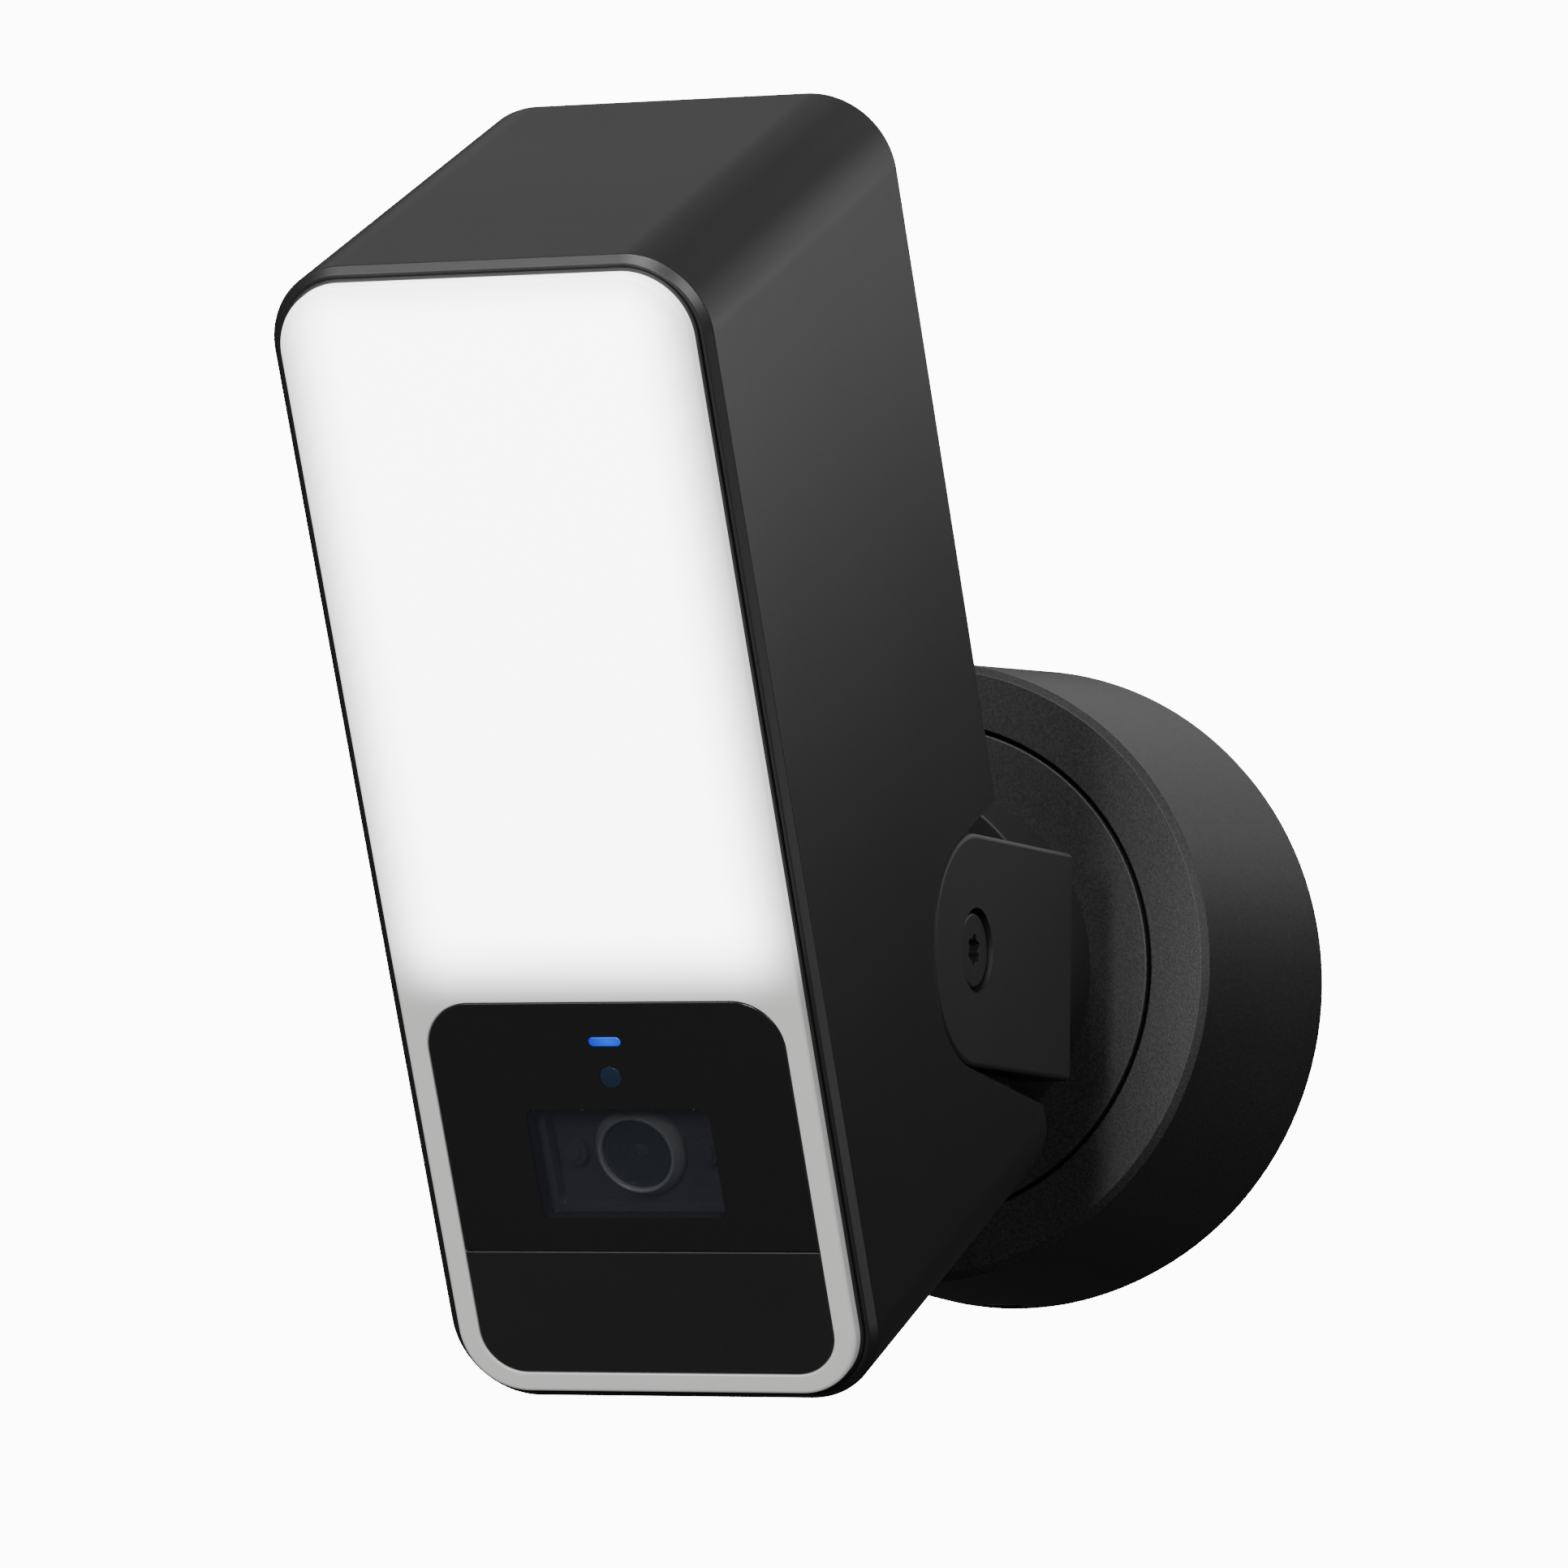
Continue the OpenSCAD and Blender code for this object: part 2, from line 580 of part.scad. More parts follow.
base_cover();
wall_plate();
wall_gasket();
cable_grommet();
terminal_block();
terminal_screws();
driver_board();
driver_parts();
cover_screws();
bearing_bush();
friction_washer();
swivel_seal();
bearing_washer();
turntable();
swivel_spindle();
retaining_ring();
turntable_screws();
yoke();
hub_grommet();
head_shell();
pivot_screws();
tilt_washers();
front_gasket();
light_cover();
led_tray();
led_board();
led_chips();
heat_spreader();
chassis();
chassis_screws();
main_board();
main_board_parts();
radio_shield();
antenna();
head_grommet();
camera_panel();
motion_sensor_cover();
camera_housing();
camera_window();
status_light_guide();
light_sensor_window();
sensor_board();
microphone();
lens_ring();
lens_front_glass();
lens_barrel();
rear_lens();
lens_holder();
infrared_leds();
infrared_cut_filter();
image_sensor();
image_board();
motion_sensor();
motion_sensor_board();
speaker();
speaker_gasket();
reset_button();
reset_switch();
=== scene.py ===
import json
import math

import bmesh
import bpy
import numpy as np
from mathutils import Matrix

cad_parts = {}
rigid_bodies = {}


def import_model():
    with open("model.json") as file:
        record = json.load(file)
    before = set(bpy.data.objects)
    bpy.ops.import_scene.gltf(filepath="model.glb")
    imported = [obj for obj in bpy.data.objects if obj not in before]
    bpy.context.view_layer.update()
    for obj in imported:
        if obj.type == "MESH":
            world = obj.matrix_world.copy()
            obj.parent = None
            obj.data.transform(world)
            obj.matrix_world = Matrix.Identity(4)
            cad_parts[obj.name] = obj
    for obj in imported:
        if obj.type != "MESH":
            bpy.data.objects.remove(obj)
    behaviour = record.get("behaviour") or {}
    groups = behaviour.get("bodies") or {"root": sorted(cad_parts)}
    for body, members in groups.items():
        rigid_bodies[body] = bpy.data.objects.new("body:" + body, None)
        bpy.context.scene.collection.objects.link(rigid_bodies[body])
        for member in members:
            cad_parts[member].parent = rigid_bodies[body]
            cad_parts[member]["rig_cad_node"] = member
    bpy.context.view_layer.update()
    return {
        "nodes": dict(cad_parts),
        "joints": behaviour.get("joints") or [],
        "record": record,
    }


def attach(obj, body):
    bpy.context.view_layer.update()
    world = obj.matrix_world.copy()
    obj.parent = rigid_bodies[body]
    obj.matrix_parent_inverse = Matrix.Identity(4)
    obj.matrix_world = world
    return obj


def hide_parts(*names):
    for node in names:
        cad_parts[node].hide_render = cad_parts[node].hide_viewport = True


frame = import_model()
nodes = frame["nodes"]
joints = {joint["name"]: joint for joint in frame["joints"]}
mm = 0.001
print("frame loaded:", len(nodes), "nodes")

cameraView = dict(aim=(0.0147, -0.15, 0.0249), azimuth=22.55, elevation=-4.70, roll=0.95,
                  distance=1.468, lens=203.5, sensor=36)


# position = aim + distance * (sin a cos e, -cos a cos e, sin e), turned by roll about its own axis
def placeCamera(view):
    azimuth, elevation = math.radians(view["azimuth"]), math.radians(view["elevation"])
    outward = np.array([math.sin(azimuth) * math.cos(elevation),
                        -math.cos(azimuth) * math.cos(elevation), math.sin(elevation)])
    level = np.array([math.cos(azimuth), math.sin(azimuth), 0.0])
    upright = np.cross(outward, level)
    roll = math.radians(view["roll"])
    right = level * math.cos(roll) + upright * math.sin(roll)
    matrix = np.eye(4)
    matrix[:3, 0], matrix[:3, 1], matrix[:3, 2] = right, np.cross(outward, right), outward
    matrix[:3, 3] = np.array(view["aim"]) + outward * view["distance"]
    lens = bpy.data.cameras.new("camera")
    lens.lens, lens.sensor_width = view["lens"], view["sensor"]
    lens.clip_start, lens.clip_end = 0.05, 50
    camera = bpy.data.objects.new("camera", lens)
    bpy.context.scene.collection.objects.link(camera)
    camera.matrix_world = Matrix(matrix.tolist())
    bpy.context.scene.camera = camera


placeCamera(cameraView)

softboxes = dict(
    frontRight=dict(place=(0.83, -0.93, 0.37), aim=(0.02, -0.12, 0.02), size=(0.45, 0.45), power=6.7),
    frontHigh=dict(place=(0.02, -0.86, 0.97), aim=(0.02, -0.12, 0.02), size=(0.45, 0.45), power=12),
    frontMiddle=dict(place=(0.02, -1.41, 0.17), aim=(0.02, -0.12, 0.02), size=(0.3, 0.3), power=11),
    frontLeft=dict(place=(-0.54, -1.11, 0.64), aim=(0.02, -0.12, 0.02), size=(0.4, 0.4), power=4.4),
    lowerSide=dict(place=(0.24, 0.02, 0.1), aim=(0.04, -0.1, 0.04), size=(0.1, 0.12), power=0.086),
    backCard=dict(place=(0.22, 0.3, 0.24), aim=(0.04, -0.1, 0.05), size=(0.22, 0.22), power=0.06),
    lowRight=dict(place=(0.78, -0.28, -0.39), aim=(0.02, -0.12, 0.02), size=(0.25, 0.25), power=0.7),
    behindLeft=dict(place=(-0.36, 0.51, 0.7), aim=(0.02, -0.12, 0.02), size=(0.45, 0.45), power=0.24),
    behindRight=dict(place=(0.4, 0.69, 0.47), aim=(0.02, -0.12, 0.02), size=(0.45, 0.45), power=0.42),
    behindHigh=dict(place=(0.02, 0.68, 0.62), aim=(0.02, -0.12, 0.02), size=(0.45, 0.45), power=0.79),
)


# an area light whose -Z looks along aim - place
def placeSoftbox(name, place, aim, size, power):
    away = np.array(place) - np.array(aim)
    away = away / np.linalg.norm(away)
    side = np.cross((0, 0, 1), away)
    side = side / np.linalg.norm(side)
    matrix = np.eye(4)
    matrix[:3, 0], matrix[:3, 1], matrix[:3, 2] = side, np.cross(away, side), away
    matrix[:3, 3] = place
    light = bpy.data.lights.new(name, "AREA")
    light.shape, light.size, light.size_y, light.energy = "RECTANGLE", size[0], size[1], power
    lamp = bpy.data.objects.new(name, light)
    bpy.context.scene.collection.objects.link(lamp)
    lamp.matrix_world = Matrix(matrix.tolist())


for boxName, box in softboxes.items():
    placeSoftbox(boxName, **box)


# sRGB to linear: c / 12.92 up to 0.04045, else ((c + 0.055) / 1.055) ^ 2.4
def fromHex(code, scale=1.0):
    value = np.array([int(code[i:i + 2], 16) for i in (1, 3, 5)]) / 255
    linear = np.where(value <= 0.04045, value / 12.92, ((value + 0.055) / 1.055) ** 2.4)
    return (*(linear * scale).tolist(), 1.0)


def addNode(tree, kind, inputs=None, **settings):
    node = tree.nodes.new(kind)
    for name, value in settings.items():
        setattr(node, name, value)
    for name, value in (inputs or {}).items():
        if isinstance(value, bpy.types.NodeSocket):
            tree.links.new(value, node.inputs[name])
        else:
            node.inputs[name].default_value = value
    return node


def newMaterial(name, surface):
    material = bpy.data.materials.new(name)
    material.use_nodes = True
    shader = material.node_tree.nodes["Principled BSDF"]
    for key, value in surface.items():
        shader.inputs[key].default_value = value
    return material, material.node_tree, shader


# bump = noise(position / grain) * depth, colour = shade * (1 +- mottle), gloss = roughness +- 0.04;
# grain and depth are in mm
def mouldedFinish(name, shade, roughness, grain, depth, mottle=0.12, speck=0.5, surface=None):
    material, tree, shader = newMaterial(name, {"Roughness": roughness, "IOR": 1.5, **(surface or {})})
    place = addNode(tree, "ShaderNodeTexCoord").outputs["Object"]
    fine = addNode(tree, "ShaderNodeTexNoise", {"Vector": place, "Scale": 1 / (grain * mm), "Detail": 3.0,
                                                "Roughness": 0.6})
    broad = addNode(tree, "ShaderNodeTexNoise", {"Vector": place, "Scale": 22.0, "Detail": 4.0})
    mix = addNode(tree, "ShaderNodeMix", {0: speck, 2: broad.outputs["Fac"], 3: fine.outputs["Fac"]})
    ramp = addNode(tree, "ShaderNodeValToRGB", {"Fac": mix.outputs[0]})
    ramp.color_ramp.elements[0].position, ramp.color_ramp.elements[1].position = 0.35, 0.65
    ramp.color_ramp.elements[0].color = fromHex(shade, 1 - mottle)
    ramp.color_ramp.elements[1].color = fromHex(shade, 1 + mottle)
    tree.links.new(ramp.outputs["Color"], shader.inputs["Base Color"])
    gloss = addNode(tree, "ShaderNodeMapRange", {"Value": broad.outputs["Fac"], "To Min": roughness - 0.04,
                                                 "To Max": roughness + 0.04})
    tree.links.new(gloss.outputs["Result"], shader.inputs["Roughness"])
    bump = addNode(tree, "ShaderNodeBump", {"Height": fine.outputs["Fac"], "Strength": 0.35,
                                            "Distance": depth * mm})
    tree.links.new(bump.outputs["Normal"], shader.inputs["Normal"])
    return material


# powder coat on cast aluminium: satin, with a fine orange peel about 0.2 mm across
castBlack = mouldedFinish("powder_coated_cast_aluminium", "#1b1b1b", 0.39, 0.22, 0.02, mottle=0.08)
# the same coat on the yoke, a little thicker and duller; its shade is a painted lift, lighter than the
# body's coat, standing in for the brighter light on the ears
yokeBlackPaintedLighter = mouldedFinish("powder_coated_die_casting_painted_lighter", "#252526", 0.47, 0.25, 0.02, mottle=0.08)
# spark-eroded mould texture on ABS: pale specks about 0.4 mm wide, coarser than real so that they show
sparkBlack = mouldedFinish("spark_textured_abs", "#222223", 0.5, 0.42, 0.10, mottle=0.6, speck=0.85)
# plain moulded ABS: even and matte
matteBlack = mouldedFinish("matte_moulded_abs", "#151516", 0.5, 0.2, 0.01)
# the camera's inner frame: satin moulding that looks bluish grey behind the smoked pane
frameGrey = mouldedFinish("satin_moulded_polycarbonate", "#5d5f69", 0.45, 0.3, 0.01, mottle=0.05)
# moulded rubber: dull, nearly black
sealRubber = mouldedFinish("moulded_epdm_rubber", "#0b0b0b", 0.6, 0.3, 0.02)
# white moulded ABS: light and even, reflects the light chips
whitePlastic = mouldedFinish("moulded_white_abs", "#e4e4e0", 0.45, 0.3, 0.01, mottle=0.03)
# unfilled nylon: slightly yellow and waxy
nylonWhite = mouldedFinish("natural_nylon", "#d2cdbb", 0.5, 0.3, 0.01, mottle=0.05)
# epoxy moulding compound: fine sandy black
chipBlack = mouldedFinish("moulded_epoxy_packages", "#232325", 0.5, 0.15, 0.02)
# solder mask over glass fibre: glossy green with a faint weave-sized unevenness
circuitGreen = mouldedFinish("solder_masked_glass_fibre", "#1f5c34", 0.3, 0.6, 0.01,
                             surface={"Coat Weight": 0.3})
# polished acrylic: deep black, mirror-like at a slant
glossBlack = mouldedFinish("polished_black_acrylic", "#1a1a1b", 0.16, 2.0, 0.0005, mottle=0.05)
# polyethylene sheet in front of the motion sensor: satin, a shade lighter than the acrylic
coverBlack = mouldedFinish("satin_polyethylene", "#1b1b1b", 0.4, 0.25, 0.006)
# silicone phosphor on the light chips: grainy yellow
phosphorYellow = mouldedFinish("cast_silicone_phosphor", "#f0d860", 0.4, 0.08, 0.01, mottle=0.15)


# scratches stretched along X: gloss = roughness +- 0.08 * noise; scratch is their spacing in mm
def metalFinish(name, shade, roughness, scratch):
    material, tree, shader = newMaterial(name, {"Base Color": fromHex(shade), "Metallic": 1.0,
                                                "Roughness": roughness})
    place = addNode(tree, "ShaderNodeTexCoord").outputs["Object"]
    stretched = addNode(tree, "ShaderNodeMapping", {"Vector": place, "Scale": (60, 1 / (scratch * mm), 900)})
    noise = addNode(tree, "ShaderNodeTexNoise", {"Vector": stretched.outputs["Vector"], "Scale": 1.0,
                                                 "Detail": 3.0})
    gloss = addNode(tree, "ShaderNodeMapRange", {"Value": noise.outputs["Fac"], "To Min": roughness - 0.08,
                                                 "To Max": roughness + 0.08})
    tree.links.new(gloss.outputs["Result"], shader.inputs["Roughness"])
    bump = addNode(tree, "ShaderNodeBump", {"Height": noise.outputs["Fac"], "Strength": 0.2,
                                            "Distance": 0.01 * mm})
    tree.links.new(bump.outputs["Normal"], shader.inputs["Normal"])
    return material


# thick black oxide on the pivot screws: satin and even, hardly metallic
oxideBlack = mouldedFinish("black_oxide_screw_steel", "#262627", 0.42, 0.2, 0.004, mottle=0.06)
# turned screw steel with a black oxide: dark, with a soft metallic sheen
blackSteel = metalFinish("black_oxide_steel", "#3c3c3e", 0.38, 0.4)
# stamped and zinc-plated sheet: pale grey, softly bright
zincSteel = metalFinish("zinc_plated_steel", "#b9bbc0", 0.3, 0.5)
# extruded aluminium: pale, with drawn lines
bareAluminium = metalFinish("extruded_aluminium", "#c4c6c9", 0.35, 0.8)
# turned brass: warm yellow
brassMetal = metalFinish("turned_brass", "#c9a24f", 0.3, 0.5)


# a tinted pane that lets 1 - cover of the light straight through; cloud varies the gloss a little
def paneFinish(name, shade, cover, roughness, ior, coat=0.0):
    material, tree, shader = newMaterial(name, {"Base Color": fromHex(shade), "Alpha": cover, "IOR": ior,
                                                "Roughness": roughness, "Coat Weight": coat})
    place = addNode(tree, "ShaderNodeTexCoord").outputs["Object"]
    cloud = addNode(tree, "ShaderNodeTexNoise", {"Vector": place, "Scale": 120.0, "Detail": 2.0})
    gloss = addNode(tree, "ShaderNodeMapRange", {"Value": cloud.outputs["Fac"], "To Min": roughness,
                                                 "To Max": roughness + 0.03})
    tree.links.new(gloss.outputs["Result"], shader.inputs["Roughness"])
    return material


# polished smoked acrylic: darkens what is behind it and mirrors the lights; its grey base colour is partly
# the smoke's tint and partly a painted haze of light that evens out the window
smokedPanePaintedHaze = paneFinish("smoked_acrylic_painted_haze", "#26272c", 0.45, 0.06, 1.49)
# ground and coated optical glass: nearly clear, greenish
lensGlass = paneFinish("coated_optical_glass", "#4a5c5e", 0.35, 0.02, 1.62, coat=0.3)
# moulded filter acrylic over the light sensor: dark blue
filterBlue = paneFinish("tinted_filter_acrylic", "#1d2b3a", 0.9, 0.12, 1.49)


# an open path with its corners rounded: centre + r * turn(start -> end), where start and end lie
# r / tan(half angle) back along both sides; a radius of 0 leaves the corner sharp
def filletPath(corners, radii, steps=5):
    corners, radii = np.array(corners, float), np.array(radii, float)[:, None]
    back = corners[:-2] - corners[1:-1]
    ahead = corners[2:] - corners[1:-1]
    back = back / np.linalg.norm(back, axis=1, keepdims=True)
    ahead = ahead / np.linalg.norm(ahead, axis=1, keepdims=True)
    half = np.arccos(np.clip((back * ahead).sum(1, keepdims=True), -1, 1)) / 2
    middle = back + ahead
    centre = corners[1:-1] + middle / np.linalg.norm(middle, axis=1, keepdims=True) * radii / np.sin(half)
    start = corners[1:-1] + back * radii / np.tan(half) - centre
    end = corners[1:-1] + ahead * radii / np.tan(half) - centre
    share = np.linspace(0, 1, steps + 1)[None, :, None]
    sweep = (math.pi - 2 * half)[:, None, :]
    arc = np.sin((1 - share) * sweep) * start[:, None] + np.sin(share * sweep) * end[:, None]
    arc = arc / np.sin(sweep)
    path = np.concatenate([corners[:1], (centre[:, None] + arc).reshape(-1, 2), corners[-1:]])
    moved = np.linalg.norm(np.diff(path, axis=0), axis=1) > 1e-7
    return path[np.concatenate([[True], moved])]


# rounded rectangles, one for each point (inset, y) of path, in the head's frame:
# corner = (+-(w/2 - inset - r), +-(h/2 - inset - r)), point = corner + r * (cos t, sin t)
def rectRows(width, height, radii, path, z=0.0, steps=14):
    path = np.array(path, float)
    inset, depth = path[:, 0][:, None, None], path[:, 1][:, None, None]
    radius = np.maximum(np.array(radii, float)[None, :, None] - inset, 0.02 * mm)
    signX = np.array([1, -1, -1, 1])[None, :, None]
    signZ = np.array([1, 1, -1, -1])[None, :, None]
    turn = (np.linspace(0, math.pi / 2, steps + 1)[None, :] + np.arange(4)[:, None] * math.pi / 2)[None]
    x = signX * (width / 2 - inset - radius) + radius * np.cos(turn)
    up = signZ * (height / 2 - inset - radius) + radius * np.sin(turn) + z
    rows = np.stack([x, depth + 0 * x, up], axis=-1)
    return rows.reshape(len(path), -1, 3)


# a turned shape: every (radius, along) of the profile becomes the ring (along, r cos t, r sin t),
# then order and sign lay the axis along the wall's normal, the head's depth, X or Z
def turnedRows(profile, axis="wall", at=(0, 0, 0), steps=96):
    profile = np.array(profile, float)
    turn = np.linspace(0, 2 * math.pi, steps, endpoint=False)[None]
    radius, along = profile[:, 0][:, None], profile[:, 1][:, None]
    first, second, third = radius * np.cos(turn), radius * np.sin(turn), along + 0 * turn
    order = dict(wall=(first, -third, second), head=(first, third, second), x=(third, first, second),
                 left=(-third, first, second), z=(first, second, third), below=(first, second, -third))[axis]
    return np.stack(order, axis=-1) + np.array(at)


# an outline of (a, b) points carried straight along x or z, from low to high
def prismRows(outline, low, high, axis):
    outline = np.array(outline, float)
    level = np.array([low, high])[:, None] + 0 * outline[None, :, 0]
    a, b = outline[None, :, 0] + 0 * level, outline[None, :, 1] + 0 * level
    return np.stack((level, a, b) if axis == "x" else (a, b, level), axis=-1)


# a closed mesh over each grid of rows: quads between rows, then a flat cap at both ends, a last band
# back to the first row ("loop"), or nothing where the end rows have shrunk to a point ("poles")
def skin(name, grids, ends="caps"):
    grids = grids if isinstance(grids, list) else [grids]
    faces, points, start = [], [], 0
    for rows in grids:
        count, around = rows.shape[:2]
        index = start + np.arange(count * around).reshape(count, around)
        if ends == "loop":
            index = np.vstack([index, index[:1]])
        right = np.roll(index, -1, axis=1)
        faces += np.stack([index[:-1], right[:-1], right[1:], index[1:]], axis=-1).reshape(-1, 4).tolist()
        if ends == "caps":
            faces += [index[0, ::-1].tolist(), index[-1].tolist()]
        points.append(rows.reshape(-1, 3))
        start += count * around
    mesh = bpy.data.meshes.new(name)
    mesh.from_pydata(np.concatenate(points), [], faces)
    work = bmesh.new()
    work.from_mesh(mesh)
    bmesh.ops.remove_doubles(work, verts=work.verts, dist=1e-7)
    bmesh.ops.recalc_face_normals(work, faces=work.faces)
    work.to_mesh(mesh)
    work.free()
    piece = bpy.data.objects.new(name, mesh)
    bpy.context.scene.collection.objects.link(piece)
    return piece


# the piece's modifiers are worked out once and kept as its mesh
def keepShape(piece):
    bpy.context.view_layer.update()
    graph = bpy.context.evaluated_depsgraph_get()
    mesh = bpy.data.meshes.new_from_object(piece.evaluated_get(graph))
    piece.modifiers.clear()
    piece.data = mesh
    return piece


# one exact boolean, kept at once; the other mesh is used up
def combine(piece, other, operation="DIFFERENCE"):
    change = piece.modifiers.new("combine", "BOOLEAN")
    change.solver, change.operation, change.object = "EXACT", operation, other
    keepShape(piece)
    bpy.data.objects.remove(other)
    return piece


def roundEdges(piece, width, sharpAngle, segments=3):
    edge = piece.modifiers.new("edge", "BEVEL")
    edge.width, edge.segments, edge.limit_method = width * mm, segments, "ANGLE"
    edge.angle_limit = math.radians(sharpAngle)
    return piece


# an optional small bevel on the hard edges, then normals weighted to the flat faces
def finishPiece(piece, body, material, replaced=(), bevel=0.0, sharpAngle=40):
    piece.data.materials.clear()
    piece.data.materials.append(material)
    piece.data.shade_smooth()
    if bevel:
        roundEdges(piece, bevel, sharpAngle)
    else:
        piece.data.set_sharp_from_angle(angle=math.radians(sharpAngle))
    weighted = piece.modifiers.new("normals", "WEIGHTED_NORMAL")
    weighted.keep_sharp = True
    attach(piece, body)
    if replaced:
        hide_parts(*replaced)
    return piece


# the head's frame: origin in the middle of its front face, y towards its back
headPlace = dict(tilt=26.2, pivotDepth=69.6 * mm, pivotBelow=46.6 * mm,
                 pivot=np.array(joints["head_tilt"]["pos_m"]))
pivotInHead = (0, headPlace["pivotDepth"], -headPlace["pivotBelow"])


# shift to the pivot, turn by the tilt about x, move to the pivot's place
def intoHead(rows):
    turn = math.radians(headPlace["tilt"])
    y, z = rows[..., 1] - headPlace["pivotDepth"], rows[..., 2] + headPlace["pivotBelow"]
    turned = np.stack([rows[..., 0], y * math.cos(turn) - z * math.sin(turn),
                       y * math.sin(turn) + z * math.cos(turn)], axis=-1)
    return turned + headPlace["pivot"] * np.array([0, 1, 1])


# a round or slot-shaped outline, as (a, b) points about its centre
def slotOutline(width, height, centre=(0, 0), steps=10):
    radius = min(width, height) / 2 - 0.001
    rows = rectRows(width * mm, height * mm, [radius * mm] * 4, [[0, 0]], steps=steps)[0]
    return rows[:, [0, 2]] + np.array(centre) * mm


lampBody = dict(width=76, height=197, depth=88.5, radius=13.7, wall=1.95, rim=2.6, chamfer=1.2, backEdge=1.0,
                backWall=3.0, backLap=8.0, pocket=20.0, pocketFloor=31.9, pocketWall=2.6, pocketTilt=33.6,
                bossRadius=8, bossFrom=22, threadRadius=3.02, threadTo=34, slotPlace=55, slotLength=16,
                slotWidth=1.6, slotPitch=5, buttonPlace=76, buttonHole=2.6, leadHole=5.0)


# round the pivot and open to the back: an arc from the top of the circle over the front to where
# the slanted lower line touches it, then both lines out to the back
def pocketOutline(radius, reach, tilt, steps=40):
    turn = np.linspace(math.pi / 2, 1.5 * math.pi - math.radians(tilt), steps)
    arc = radius * np.stack([np.cos(turn), np.sin(turn)], axis=-1)
    low = arc[-1, 1] - (reach - arc[-1, 0]) * math.tan(math.radians(tilt))
    outline = np.concatenate([arc, [[reach, low], [reach, radius]]])
    return outline + np.array([headPlace["pivotDepth"], -headPlace["pivotBelow"]])


# the casting: a rounded rectangle carried over its profile, an ear pocket with its wall and screw
# boss at each side, and the openings for sound, reset button and lead
def makeLampBody(v):
    width, height, depth = v["width"] * mm, v["height"] * mm, v["depth"] * mm
    rim, wall = v["rim"] * mm, v["wall"] * mm
    chamfer, backInside, backLap = v["chamfer"] * mm, depth - v["backWall"] * mm, v["backLap"] * mm
    profile = filletPath([[backLap, depth], [0, depth], [0, rim + chamfer], [chamfer, rim], [wall, rim],
                          [wall, backInside], [backLap, backInside]],
                         [v["backEdge"] * mm, 0.35 * mm, 0.3 * mm, 0.2 * mm, 0.5 * mm])
    body = skin("lamp_body", intoHead(rectRows(width, height, [v["radius"] * mm] * 4, profile, steps=24)))
    reach = depth - headPlace["pivotDepth"] + 3 * mm
    outer = pocketOutline((v["pocket"] + v["pocketWall"]) * mm, reach - 4 * mm, v["pocketTilt"])
    inner = pocketOutline(v["pocket"] * mm, reach, v["pocketTilt"])
    for side in (-1, 1):
        low, high = sorted((side * (v["pocketFloor"] - v["pocketWall"]) * mm, side * (width / 2 - wall / 2)))
        combine(body, skin("wall", intoHead(prismRows(outer, low, high, "x"))), "UNION")
    for side, axis in ((-1, "left"), (1, "x")):
        low, high = sorted((side * v["pocketFloor"] * mm, side * (width / 2 + 3 * mm)))
        combine(body, skin("cut", intoHead(prismRows(inner, low, high, "x"))))
        boss = np.array([[v["bossRadius"], v["bossFrom"]], [v["bossRadius"], v["pocketFloor"] - 1]]) * mm
        combine(body, skin("boss", intoHead(turnedRows(boss, axis, pivotInHead, 48))), "UNION")
        hole = np.array([[v["threadRadius"], v["bossFrom"] - 2], [v["threadRadius"], v["threadTo"]]]) * mm
        combine(body, skin("hole", intoHead(turnedRows(hole, axis, pivotInHead, 48))))
    bottom = (-height / 2 - 2 * mm, -height / 2 + 6 * mm)
    cuts = [prismRows(slotOutline(v["slotWidth"], v["slotLength"], (x, v["slotPlace"])), *bottom, "z")
            for x in np.arange(-2, 3) * v["slotPitch"]]
    cuts.append(prismRows(slotOutline(2 * v["buttonHole"], 2 * v["buttonHole"], (0, v["buttonPlace"])),
                          *bottom, "z"))
    lead = [[v["leadHole"] * mm, depth - 6 * mm], [v["leadHole"] * mm, depth + 2 * mm]]
    cuts.append(turnedRows(lead, "head", (0, 0, -headPlace["pivotBelow"]), 48))
    combine(body, skin("openings", [intoHead(rows) for rows in cuts]))
    finishPiece(body, "head", castBlack, ["head_shell"], bevel=0.3, sharpAngle=50)


makeLampBody(lampBody)
print("lamp body made")

lightCover = dict(width=70.7, height=192.2, radius=11.05, edge=0.7, front=0.0, back=6.0, wall=2.4, skirt=1.5)
sensorPanel = dict(width=63.3, top=-26.5, bottom=-92.7, seam=-70.75, seamGap=0.02, fit=0.15, topRadius=8.5,
                   bottomRadius=7.6, topCorner=8.3, bottomCorner=7.4, seamCorner=0.4, face=0.1, back=3.05,
                   edge=0.25)


# outer skirt, rounded front edge, flat face in to the panel's opening, and back inside the skirts
def makeLightCover(v, panel, material):
    outer = filletPath([[v["skirt"] * mm, v["wall"] * mm], [v["skirt"] * mm, v["back"] * mm],
                        [0, v["back"] * mm], [0, v["front"] * mm], [2 * mm, v["front"] * mm]],
                       [0.1 * mm, 0.1 * mm, v["edge"] * mm])
    inner = filletPath([[-1 * mm, v["front"] * mm], [0, v["front"] * mm], [0, v["back"] * mm],
                        [-v["skirt"] * mm, v["back"] * mm], [-v["skirt"] * mm, v["wall"] * mm]],
                       [0.2 * mm, 0.1 * mm, 0.1 * mm])
    high = (panel["top"] - panel["bottom"]) * mm
    middle = (panel["top"] + panel["bottom"]) / 2 * mm
    radii = [panel["topRadius"] * mm] * 2 + [panel["bottomRadius"] * mm] * 2
    rows = np.concatenate([
        rectRows(v["width"] * mm, v["height"] * mm, [v["radius"] * mm] * 4, outer, steps=24),
        rectRows(panel["width"] * mm, high, radii, inner, z=middle, steps=24)])
    cover = skin("light_cover", intoHead(rows), ends="loop")
    finishPiece(cover, "head", material, ["light_cover"])


